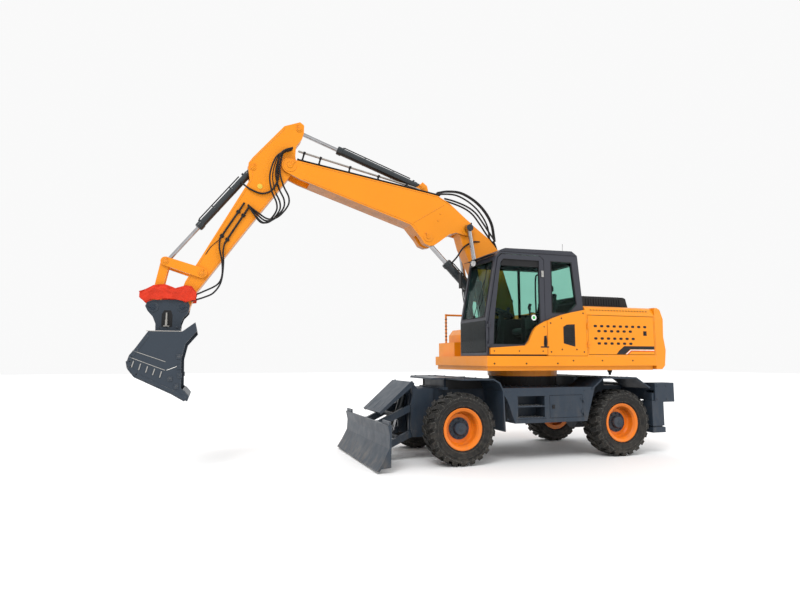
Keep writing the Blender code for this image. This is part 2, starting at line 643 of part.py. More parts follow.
def build_cab(b, upper, door):
    cuts = [
        prism(cab_outline(CAB_WALL), CAB_RIGHT + CAB_WALL, CAB_LEFT - CAB_WALL),
        prism(door_outline(0.0105), CAB_LEFT - CAB_WALL - 0.02, CAB_LEFT + 0.1),
        prism([(-0.12, 2.30), (-0.12, 3.12), (-0.50, 3.12), (-0.575, 2.45), (-0.42, 2.30)],
              CAB_LEFT - 0.1, CAB_LEFT + 0.1),
        prism([(0.88, 2.25), (0.74, 3.10), (-0.48, 3.10), (-0.56, 2.45), (-0.56, 2.25)], CAB_RIGHT - 0.1,
              CAB_RIGHT + 0.1),
        box(0.75, 1.2, CAB_RIGHT + 0.07, CAB_LEFT - 0.07, SILL_TOP + 0.04, CAB_TOP - 0.19),
        box(-0.8, -0.50, CAB_RIGHT + 0.10, CAB_LEFT - 0.10, 2.50, 3.10),
    ]
    door_knuckles, frame_knuckles = upright_hinge(CAB_HINGE, DOOR_FRONT, CAB_FRONT - 0.008, CAB_LEFT,
                                                  CAB_HINGE_LEVELS)
    b.node("cab_shell", "cab_grey", upper, [prism(cab_outline(), CAB_RIGHT, CAB_LEFT)] + frame_knuckles,
           cuts)

    window = [(0.935, 1.79), (0.91, 2.20), (0.79, 3.06), (0.74, 3.12), (0.10, 3.12), (0.10, 2.14), (0.25,
        2.02),
              (0.33, 1.86), (0.40, 1.79)]
    skin = [(DOOR_FRONT, DECK_TOP + 0.025), (DOOR_FRONT, 1.735), (0.40, 1.775), (0.335, 1.85), (0.26,
        2.0), (0.17, 2.09),
            (DOOR_REAR, 2.165), (DOOR_REAR, DECK_TOP + 0.025)]
    b.node("cab_door", "cab_grey", door, [prism(door_outline(), CAB_LEFT - 0.045, CAB_LEFT + 0.005),
                                          prism(skin, CAB_LEFT - 0.01, DECK_HALF_WIDTH)] + door_knuckles,
           [prism(window, CAB_LEFT - 0.2, CAB_LEFT + 0.2)])
    panel = [(DOOR_REAR - 0.012, DECK_TOP + 0.006), (DOOR_REAR - 0.012, 2.165), (-0.10, 2.21), (-0.262,
        2.265),
             (-0.45, 2.31), (COWL_FRONT + 0.006, 2.36), (COWL_FRONT + 0.006, DECK_TOP + 0.006)]
    b.node("left_side_panel", "orange", upper, [prism(panel, CAB_LEFT + GAP, DECK_HALF_WIDTH)])


def build_interior(b, upper):
    floor = DECK_TOP + 0.0058 + CAB_WALL + GAP
    y = (CAB_LEFT + CAB_RIGHT) / 2
    seat = [box(-0.22, 0.18, y - 0.17, y + 0.17, floor, floor + 0.28),
            box(-0.28, 0.26, y - 0.25, y + 0.25, floor + 0.27, floor + 0.40),
            prism([(-0.20, floor + 0.35), (-0.30, floor + 1.0), (-0.42, floor + 1.0), (-0.34,
                floor + 0.35)],
                  y - 0.23, y + 0.23),
            box(-0.42, -0.30, y - 0.13, y + 0.13, floor + 0.98, floor + 1.14)]
    b.node("operator_seat", "seat_black", upper, seat)
    console = [box(-0.20, 0.34, y + 0.28, y + 0.395, floor, floor + 0.55),
               box(-0.20, 0.34, y - 0.395, y - 0.28, floor, floor + 0.55)]
    column = [prism([(0.66, floor), (0.56, floor + 0.62), (0.50, floor + 0.62), (0.56, floor)], y - 0.04,
                    y + 0.04)]
    tread = [box(0.45, 0.88, y - 0.395, y + 0.395, floor, floor + 0.03),
             box(-0.25, 0.5, y - 0.395, y - 0.20, floor, floor + 0.03),
             box(-0.25, 0.5, y + 0.20, y + 0.395, floor, floor + 0.03)]
    wheel = turned([(0.19, -0.016), (0.16, -0.016), (0.16, 0.016), (0.19, 0.016)], (0, 0, 0), 20)
    spokes = box(-0.175, 0.175, -0.015, 0.015, -0.02, 0.02)
    spokes_two = box(-0.02, 0.02, -0.015, 0.015, -0.175, 0.175)
    for mesh in (wheel, spokes, spokes_two):
        mesh.transform(Matrix.Translation((0.52, y, floor + 0.63)) @ Matrix.Rotation(math.radians(-22), 4,
            "Y")
                       @ Matrix.Rotation(math.radians(90), 4, "X"))
    b.node("cab_controls", "black", upper, [tread[0]] + tread[1:] + console + column + [spokes,
        spokes_two, wheel])


def build_cowl(b, upper, left, right, hood):
    side = DECK_HALF_WIDTH
    floor = DECK_TOP + GAP
    outer = [(-side, floor), (side, floor), (side, COWL_TOP - 0.14), (side - 0.05, COWL_TOP - 0.03),
             (side - 0.12, COWL_TOP), (-side + 0.12, COWL_TOP), (-side + 0.05, COWL_TOP - 0.03), (-side,
                 COWL_TOP - 0.14)]
    inner = [(-side + WALL, floor - 0.1), (side - WALL, floor - 0.1), (side - WALL, COWL_TOP - 0.15),
             (side - 0.13, COWL_TOP - WALL), (-side + 0.13, COWL_TOP - WALL), (-side + WALL,
                 COWL_TOP - 0.15)]
    door_x = (COWL_BACK + 0.03, COWL_FRONT - 0.03)
    door_z = (floor + 0.03, COWL_TOP - 0.16)
    gap = 0.008
    cuts = [prism(inner, COWL_BACK + WALL, COWL_FRONT - WALL, "X")]
    for way in (1, -1):
        low, high = sorted((way * (side - 0.06), way * (side + 0.06)))
        cuts.append(box(door_x[0] - gap, door_x[1] + gap, low, high, door_z[0] - gap, door_z[1] + gap))
    cuts.append(box(HOOD_BACK - gap, HOOD_FRONT + gap, HOOD_RIGHT - gap, HOOD_LEFT + gap, COWL_TOP - 0.1,
                    COWL_TOP + 0.1))
    frames = []
    for name, pivot, way in (("left_engine_door", left, 1), ("right_engine_door", right, -1)):
        low, high = sorted((way * (side - 0.028), way * side))
        knuckles, fixed = upright_hinge((ENGINE_HINGE_X, way * ENGINE_HINGE_Y), door_x[1],
                                        COWL_FRONT - 0.003,
                                        way * side, ENGINE_HINGE_LEVELS)
        frames += fixed
        b.node(name, "orange", pivot, [box(*door_x, low, high, *door_z)] + knuckles)
    for y in HOOD_HINGE_LANES:
        frames.append(box(HOOD_HINGE[0] - 0.035, HOOD_HINGE[0], y - HINGE_LENGTH, y - PIN_GAP,
                          COWL_TOP - 0.01, HOOD_HINGE[1]))
        frames.append(disc(HOOD_HINGE, HINGE_RADIUS, y - HINGE_LENGTH, y - PIN_GAP, "Y", 12))
    b.node("engine_cowl", "orange", upper, [prism(outer, COWL_BACK + RUN_GAP, COWL_FRONT, "X")] + frames,
           cuts)
    louvre = [(HOOD_BACK + 0.05, COWL_TOP - 0.005), (HOOD_BACK + 0.10, COWL_TOP + 0.17),
              (HOOD_BACK + 0.15, COWL_TOP + 0.19),
              (HOOD_FRONT - 0.06, COWL_TOP + 0.19), (HOOD_FRONT - 0.02,
                                                     COWL_TOP + 0.17), (HOOD_FRONT - 0.01,
                                                         COWL_TOP - 0.005)]
    knuckles = []
    for y in HOOD_HINGE_LANES:
        knuckles.append(box(HOOD_HINGE[0], HOOD_BACK + 0.02, y, y + HINGE_LENGTH, COWL_TOP + PIN_GAP,
                            HOOD_HINGE[1]))
        knuckles.append(disc(HOOD_HINGE, HINGE_RADIUS, y, y + HINGE_LENGTH, "Y", 12))
    b.node("engine_hood", "black", hood, [box(HOOD_BACK, HOOD_FRONT, HOOD_RIGHT, HOOD_LEFT,
                                              COWL_TOP - 0.025, COWL_TOP + 0.003),
                                          prism(louvre, HOOD_RIGHT + 0.05, HOOD_LEFT - 0.05)] + knuckles,
           [prism([(x + (0.03 if x < -1.2 else -0.03), z - 0.035) for x, z in louvre], HOOD_RIGHT + 0.08,
                  HOOD_LEFT - 0.08)])
    b.node("engine_block", "engine_grey", upper, [box(-1.80, -1.10, -0.40, 0.35, floor, 2.20)])


def build_counterweight(b, upper):
    half = DECK_HALF_WIDTH
    front = COWL_BACK - GAP
    depth_side = 0.20
    depth_mid = 0.38

    def plan(grow):
        back = [(front - depth_side - (depth_mid - depth_side) * (1 - (t / 6) ** 2) - grow,
                 half * t / 6 * (1 - 0.02 * (abs(t) == 6)))
                for t in range(-6, 7)]
        return [(front, half)] + back[::-1] + [(front, -half)]

    rings = [(DECK_BOTTOM + 0.01, -0.06), (DECK_BOTTOM + 0.07, 0.0), (1.72, 0.03), (1.95, -0.01),
             (COWL_TOP - 0.19, 0.0),
             (COWL_TOP - 0.03, -0.06), (COWL_TOP, -0.12)]
    bm = bmesh.new()
    loops = []
    for z, grow in rings:
        loops.append([bm.verts.new((x, y, z)) for x, y in plan(grow)])
    for a, c in zip(loops, loops[1:]):
        for i in range(len(a)):
            j = (i + 1) % len(a)
            bm.faces.new((a[i], a[j], c[j], c[i]))
    bm.faces.new(loops[0])
    bm.faces.new(loops[-1])
    b.node("counterweight", "orange", upper, [finish_mesh(bm)])


def build_right_tank(b, upper):
    inner = -0.455
    floor = DECK_TOP + GAP
    tank = [(COWL_FRONT + 0.006, floor), (0.62, floor), (0.62, 2.02), (0.54, 2.12), (COWL_FRONT + 0.006,
        2.12)]
    step = box(0.60, 0.84, -DECK_HALF_WIDTH + 0.02, inner - 0.02, floor, 1.87)
    post_front = disc((0.76, -1.02), 0.019, 1.80, 2.42, "Z", 10)
    post_back = disc((0.40, -1.02), 0.019, 2.05, 2.42, "Z", 10)
    rail = disc((-1.02, 2.40), 0.019, 0.385, 0.775, "X", 10)
    b.node("right_tank", "orange", upper, [prism(tank, -DECK_HALF_WIDTH, inner), step, post_front,
                                           post_back, rail])


# ------------------------------------------------------------- boom, arm and bucket
def cylinder_parts(base, top, gland_at, shortening, radius, rod_radius, y, base_half, top_half):
    """A barrel bored to just beyond its base eye, and a rod that can go in by its shortening."""
    total = (Vector(top) - Vector(base)).length
    eye = radius * 0.95
    barrel = [disc(base, eye, y - base_half, y + base_half, "Y", 16),
              bar(toward(base, top, eye * 0.6), toward(base, top, gland_at), radius, y, 14,
                  rod_radius + 0.0008,
                  eye * 0.4 + 0.02)]
    rod = [bar(toward(base, top, eye + 0.04 + shortening), toward(base, top, total - eye * 0.6),
               rod_radius, y),
           disc(top, eye, y - top_half, y + top_half, "Y", 16)]
    return barrel, rod


def build_booms(b, pivots):
    half = BASE_BOOM_WIDTH / 2
    head = circle(BASE.end, 0.15, 8, BASE_BOOM_ANGLE + 75, -150)
    foot = circle(BASE.start, 0.12, 8, BASE_BOOM_ANGLE - 100, -160)
    outline = foot + BASE.outline([(0.585, 0.285), (1.28, 0.368), (1.561, 0.42), (1.80,
        0.345)]) + head + BASE.outline(
        [(1.842, -0.189), (1.548, -0.189), (0.862, -0.165)])
    lug = [BASE.at(1.12, -0.15), BASE.at(0.80, -0.15), tuple(Vector(ADJUST_BASE) + Vector((0.0, -0.075))),
           tuple(Vector(ADJUST_BASE) + Vector((0.07, -0.02))), tuple(Vector(ADJUST_BASE) + Vector((0.05,
               0.06)))]
    adds = [prism(outline, BOOM_Y - half, BOOM_Y + half)]
    for side in (1, -1):
        adds.append(prism(lug, *sorted((BOOM_Y + side * (0.077 + PIN_GAP), BOOM_Y + side * 0.112))))
    b.node("base_boom", "orange", pivots["base_boom"], adds)

    half = UPPER_BOOM_WIDTH / 2
    outline = UPPER.outline([(3.182, 0.115), (3.098, 0.115), (0.80, 0.372), (0.662, 0.385), (0.41, 0.323),
                             (0.063, 0.165)])
    outline += circle(UPPER.start, 0.13, 6, UPPER_BOOM_ANGLE + 110, 140)
    outline += UPPER.outline([(0.187, -0.13), (0.30, -0.20), (0.44, -0.38), (0.52, -0.475)])
    outline += UPPER.outline([(0.60, -0.51), (0.70, -0.50), (0.79, -0.42), (1.013, -0.266), (2.962,
        -0.165)])
    outline += circle(UPPER.end, 0.13, 6, UPPER_BOOM_ANGLE - 85, 130)
    slot = BASE_BOOM_WIDTH / 2 + PIN_GAP
    knuckle_cut = circle(UPPER.start, 0.215, 10, UPPER_BOOM_ANGLE - 85, 170) + UPPER.outline([(-0.3, 0.4),
        (-0.3, -0.4)])
    lobe_cut = [UPPER.at(0.62, -0.26), UPPER.at(0.82, -0.30), UPPER.at(0.95, -0.75), UPPER.at(0.10,
        -0.85), UPPER.at(0.30, -0.45), UPPER.at(0.50, -0.27)]
    tip_cut = circle(UPPER.end, 0.42, 8, UPPER_BOOM_ANGLE + 100, 160) + UPPER.outline([(3.5, -0.5),
        (3.5, 0.5)])
    tip = ARM_WIDTH / 2 + PIN_GAP
    lug = [UPPER.at(0.76, 0.30), UPPER.at(1.22, 0.30), tuple(Vector(ARM_CYLINDER_BASE) + Vector((0.08,
        0.0))),
           tuple(Vector(ARM_CYLINDER_BASE) + Vector((0.0,
                                                     0.08))),
                                                     tuple(Vector(ARM_CYLINDER_BASE) + Vector((-0.08,
                                                         0.02)))]
    adds = [prism(outline, BOOM_Y - half, BOOM_Y + half)]
    for side in (1, -1):
        adds.append(prism(lug, *sorted((BOOM_Y + side * (0.064 + PIN_GAP), BOOM_Y + side * 0.10))))
    b.node("upper_boom", "orange", pivots["upper_boom"], adds, [
        prism(knuckle_cut, BOOM_Y - slot, BOOM_Y + slot),
        prism(lobe_cut, BOOM_Y - 0.055 - PIN_GAP, BOOM_Y + 0.055 + PIN_GAP),
        prism(tip_cut, BOOM_Y - tip, BOOM_Y + tip)])

    half = ARM_WIDTH / 2
    outline = ARM.outline([(-0.705, 0.20), (-0.71, 0.28), (-0.489, 0.435), (0.25, 0.52), (0.36, 0.52),
                           (0.45, 0.46),
                           (0.572, 0.35), (2.0, 0.222), (2.42, 0.19), (2.60, 0.14)])
    outline += circle(ARM.end, 0.10, 6, ARM_ANGLE + 60, -150)
    outline += ARM.outline([(2.475, -0.03), (1.215, -0.06), (0.774, -0.075), (0.10, -0.10), (-0.06, -0.10),
                            (-0.189, 0.02), (-0.324, 0.10), (-0.50, 0.10), (-0.595, 0.13)])
    base_cut = [ARM.at(0.28, 0.62), ARM.at(0.27, 0.358), ARM.at(0.62, 0.358), ARM.at(0.70, 0.62)]
    rod_cut = [ARM.at(-0.45, -0.05), ARM.at(-0.50, 0.27), ARM.at(-0.56, 0.42), ARM.at(-0.62, 0.50),
               ARM.at(-0.80, 0.50), ARM.at(-0.80, -0.05)]
    b.node("arm", "orange", pivots["arm"], [prism(outline, BOOM_Y - half, BOOM_Y + half)], [
        prism(rod_cut, BOOM_Y - 0.055 - PIN_GAP, BOOM_Y + 0.055 + PIN_GAP),
        prism(base_cut, BOOM_Y - 0.057 - PIN_GAP, BOOM_Y + 0.057 + PIN_GAP)])


def upright_hinge(pin, door_edge, frame_x, face, levels):
    """Door knuckles standing on frame knuckles round an upright pin, one pair at each level."""
    x, y = pin
    out = 1.0 if y > face else -1.0
    away = 1.0 if door_edge > x else -1.0
    leaf = sorted((face + out * PIN_GAP, y))
    root = sorted((face - out * 0.008, y))
    doors = []
    frames = []
    for z in levels:
        top = z + HINGE_LENGTH
        doors.append(box(*sorted((door_edge + away * 0.03, door_edge)), *root, z, top))
        doors.append(box(*sorted((x, door_edge + away * 0.02)), *leaf, z, top))
        doors.append(disc(pin, HINGE_RADIUS, z, top, "Z", 12))
        frames.append(box(*sorted((x, frame_x)), *root, z - HINGE_LENGTH, z - PIN_GAP))
        frames.append(disc(pin, HINGE_RADIUS, z - HINGE_LENGTH, z - PIN_GAP, "Z", 12))
    return doors, frames


def strap(a, c, radius_a, radius_c, low, high):
    """A plate with round ends over two pins."""
    turn = math.degrees(math.atan2(c[1] - a[1], c[0] - a[0]))
    return prism(circle(a, radius_a, 8, turn + 90, 180) + circle(c, radius_c, 8, turn - 90, 180), low, high)


def build_linkage(b, pivots):
    adds = []
    inner = ARM_WIDTH / 2 + PIN_GAP
    for side in (1, -1):
        adds.append(strap(ROCKER_PIN, ROCKER_TOP, 0.075, 0.065,
                          *sorted((BOOM_Y + side * inner, BOOM_Y + side * (inner + 0.035)))))
    middle = toward(ROCKER_TOP, ROCKER_PIN, 0.17)
    adds.append(disc(middle, 0.03, BOOM_Y - inner - 0.01, BOOM_Y + inner + 0.01, "Y", 12))
    b.node("rocker", "orange", pivots["rocker"], adds)
    outer = inner - 2 * PIN_GAP
    adds = []
    for side in (1, -1):
        adds.append(strap(ROCKER_TOP, LINK_PIN, 0.06, 0.06, *sorted((BOOM_Y + side * (outer - 0.035),
                                                                     BOOM_Y + side * outer))))
        adds.append(disc(ROCKER_TOP, 0.05, *sorted((BOOM_Y + side * (0.045 + PIN_GAP),
                                                    BOOM_Y + side * (outer - 0.01)))))
    reach = EAR_OUTER - PLATE - PIN_GAP
    adds.append(disc(LINK_PIN, 0.055, BOOM_Y - reach, BOOM_Y + reach, "Y", 16))
    adds.append(disc(toward(LINK_PIN, ROCKER_TOP, 0.30), 0.035, BOOM_Y - outer + 0.01,
                     BOOM_Y + outer - 0.01, "Y", 12))
    b.node("bucket_link", "orange", pivots["link"], adds)


def build_bucket(b, pivots):
    half = BUCKET_WIDTH / 2
    ear = TOOL.outline([(-0.105, 0.02), (-0.08, 0.075), (0.0, 0.105), (0.39, 0.09), (0.47, 0.06), (0.495,
        0.0), (0.46, -0.07),
                        (0.39, -0.15), (0.35, -0.25), (0.347, -0.37), (0.016, -0.37), (0.01,
                            -0.25), (-0.02, -0.16), (-0.09, -0.08)])
    adds = []
    for side in (1, -1):
        adds.append(prism(ear, *sorted((BOOM_Y + side * (EAR_OUTER - PLATE), BOOM_Y + side * EAR_OUTER))))
    low = TOOL.outline([(0.016, -0.30), (0.347, -0.30), (0.347, -0.372), (0.016, -0.372)])
    adds.insert(1, prism(low, BOOM_Y - EAR_OUTER + 0.01, BOOM_Y + EAR_OUTER - 0.01))
    b.node("bucket_bracket", "slate", pivots["bucket"], adds)

    top = -0.3725
    outer = TOOL.outline([(0.40, top), (0.43, -0.415), (0.55, -0.60), (0.625, -0.70), (0.650, -0.781),
                          (0.635, -0.87), (0.55, -0.985),
                          (0.077, -1.218), (-0.095, -1.321), (-0.145, -1.26), (-0.04, -1.15), (-0.03,
                              -0.76), (-0.077, -0.543),
                          (-0.222, -0.364), (-0.196, -0.243), (-0.03, top)])
    inner = TOOL.outline([(0.385, -0.405), (0.52, -0.615), (0.595, -0.715), (0.618, -0.781), (0.605,
        -0.855), (0.53, -0.962),
                          (0.077, -1.185), (-0.095, -1.285), (-0.30, -1.30), (-0.30, -0.43), (-0.17,
                              -0.33), (-0.10, -0.405)])
    spill = TOOL.outline([(-0.30, -0.40), (-0.30, -0.10), (-0.15, -0.20), (-0.04, -0.3)])
    b.node("bucket", "slate", pivots["bucket"], [prism(outer, BOOM_Y - half, BOOM_Y + half)],
           [prism(inner, BOOM_Y - half + 0.025, BOOM_Y + half - 0.025)])
    for name, side in (("left_cloth", 1), ("right_cloth", -1)):
        shape = TOOL.outline([(-0.18, 0.10), (-0.05, 0.075), (0.10, 0.115), (0.40, 0.10), (0.50, 0.06),
                              (0.56, 0.12), (0.585, 0.21), (0.40, 0.30),
                              (0.25, 0.33), (0.10, 0.27), (-0.04, 0.32), (-0.14, 0.30), (-0.20, 0.21)])
        lane = sorted((BOOM_Y + side * (EAR_OUTER + 0.0008), BOOM_Y + side * (EAR_OUTER + 0.045)))
        b.node(name, "cloth_red", pivots["bucket"], [prism(shape, *lane)])


def build_hydraulics(b, pivots):
    barrels = []
    for side in (1, -1):
        barrel, rod = cylinder_parts(LIFT_BASE, tuple(BASE.end), LIFT_GLAND, 0.42, 0.062, 0.036,
                                     BOOM_Y + side * LIFT_Y,
                                     0.045, 0.045)
        barrels += barrel
        b.node(("left" if side > 0 else "right") + "_lift_rod", "steel", pivots["lift_rods"], rod)
    shaft = disc(LIFT_BASE, 0.040, BOOM_Y - LIFT_Y, BOOM_Y + LIFT_Y, "Y", 14)
    b.node("lift_cylinders", "cylinder_black", pivots["lift_cylinders"], [shaft] + barrels)
    rows = (
        ("adjust", ADJUST_BASE, ADJUST_TOP, ADJUST_GLAND, 0.30, 0.075, 0.042, 0.077, 0.055),
        ("arm", ARM_CYLINDER_BASE, ARM_CYLINDER_TOP, ARM_GLAND, 0.42, 0.062, 0.034, 0.064, 0.055),
        ("bucket", BUCKET_CYLINDER_BASE, ROCKER_TOP, BUCKET_GLAND, 0.20, 0.055, 0.030, 0.057, 0.045),
    )
    for name, base, top, gland, shortening, radius, rod_radius, base_half, top_half in rows:
        barrel, rod = cylinder_parts(base, top, gland, shortening, radius, rod_radius, BOOM_Y, base_half,
                                     top_half)
        b.node(f"{name}_cylinder", "cylinder_black", pivots[f"{name}_cylinder"], barrel)
        b.node(f"{name}_rod", "steel", pivots[f"{name}_rod"], rod)


# ------------------------------------------------------------- assembly
def make_pivots():
    root = make_pivot("excavator", 0, 0, 0)
    pivots = {"chassis": make_pivot("chassis", 0, 0, 0, root)}
    chassis = pivots["chassis"]

    def add(name, x, y, z, parent):
        pivots[name] = make_pivot(f"{name}_pivot", x, y, z, pivots[parent] if isinstance(parent,
            str) else parent)

    def pin(name, point, parent):
        add(name, point[0], BOOM_Y, point[1], parent)

    for name, side in (("left", 1), ("right", -1)):
        add(f"front_{name}_knuckle", FRONT_X, side * KINGPIN_Y, AXLE_Z, chassis)
        add(f"front_{name}_wheel", FRONT_X, side * TRACK / 2, AXLE_Z, f"front_{name}_knuckle")
        add(f"rear_{name}_wheel", REAR_X, side * TRACK / 2, AXLE_Z, chassis)
        add(f"{name}_stabiliser", LEG_X, side * LEG_Y, 1.0, chassis)
    add("toolbox_door", *LOCKER_HINGE, 0.83, chassis)
    add("blade_lower_arm", BLADE_ARM_X, 0, BLADE_ARM_LOW_Z, chassis)
    add("blade_upper_arm", BLADE_ARM_X, 0, BLADE_ARM_HIGH_Z, chassis)
    add("blade", BLADE_ARM_X + BLADE_ARM_REACH, 0, BLADE_ARM_LOW_Z - BLADE_ARM_DROP, "blade_lower_arm")
    add("blade_guard", GUARD_HINGE[0], 0, GUARD_HINGE[1], chassis)
    add("blade_cylinder", BLADE_CYLINDER_TOP[0], 0, BLADE_CYLINDER_TOP[1], chassis)
    add("blade_rod", BLADE_CYLINDER_TOP[0], 0, BLADE_CYLINDER_TOP[1], "blade_cylinder")
    add("upper", SWING_X, 0, DECK_BOTTOM, chassis)
    add("cab_door", *CAB_HINGE, 2.3, "upper")
    add("left_engine_door", ENGINE_HINGE_X, ENGINE_HINGE_Y, 2.0, "upper")
    add("right_engine_door", ENGINE_HINGE_X, -ENGINE_HINGE_Y, 2.0, "upper")
    add("engine_hood", HOOD_HINGE[0], 0, HOOD_HINGE[1], "upper")
    pin("base_boom", FOOT, "upper")
    pin("upper_boom", BASE.end, "base_boom")
    pin("arm", UPPER.end, "upper_boom")
    pin("bucket", ARM.end, "arm")
    pin("rocker", ROCKER_PIN, "arm")
    pin("link", ROCKER_TOP, "rocker")
    pin("lift_cylinders", LIFT_BASE, "upper")
    pin("lift_rods", LIFT_BASE, "lift_cylinders")
    pin("adjust_cylinder", ADJUST_BASE, "base_boom")
    pin("adjust_rod", ADJUST_BASE, "adjust_cylinder")
    pin("arm_cylinder", ARM_CYLINDER_BASE, "upper_boom")
    pin("arm_rod", ARM_CYLINDER_BASE, "arm_cylinder")
    pin("bucket_cylinder", BUCKET_CYLINDER_BASE, "arm")
    pin("bucket_rod", BUCKET_CYLINDER_BASE, "bucket_cylinder")
    return root, pivots


def main():
    clear_scene()
    b = Builder(make_materials())
    root, pivots = make_pivots()
    chassis = pivots["chassis"]
    upper = pivots["upper"]
    build_chassis(b, chassis)
    build_axles(b, chassis)
    build_mudguards(b, "left_mudguards", 1, chassis)
    build_mudguards(b, "right_mudguards", -1, chassis)
    build_locker_door(b, pivots["toolbox_door"])
    build_stabilisers(b, chassis, pivots["left_stabiliser"], pivots["right_stabiliser"])
    for name, side in (("left", 1), ("right", -1)):
        b.node(f"front_{name}_knuckle", "slate", pivots[f"front_{name}_knuckle"], knuckle_shape(side))
        build_wheel(b, f"front_{name}", FRONT_X, side, pivots[f"front_{name}_wheel"])
        build_wheel(b, f"rear_{name}", REAR_X, side, pivots[f"rear_{name}_wheel"])
    build_blade(b, *[pivots[name] for name in
                     ("blade", "blade_lower_arm", "blade_upper_arm", "blade_guard", "blade_cylinder",
                      "blade_rod")])
    build_deck(b, upper)
    build_cab(b, upper, pivots["cab_door"])
    build_interior(b, upper)
    build_cowl(b, upper, pivots["left_engine_door"], pivots["right_engine_door"], pivots["engine_hood"])
    build_counterweight(b, upper)
    build_right_tank(b, upper)
    build_booms(b, pivots)
    build_linkage(b, pivots)
    build_bucket(b, pivots)
    build_hydraulics(b, pivots)
    root.location.x = -ORIGIN_X


main()
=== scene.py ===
"""Looks for the wheeled excavator: paint, tyres, glass, hoses, cloth, light and camera."""

import json
import math

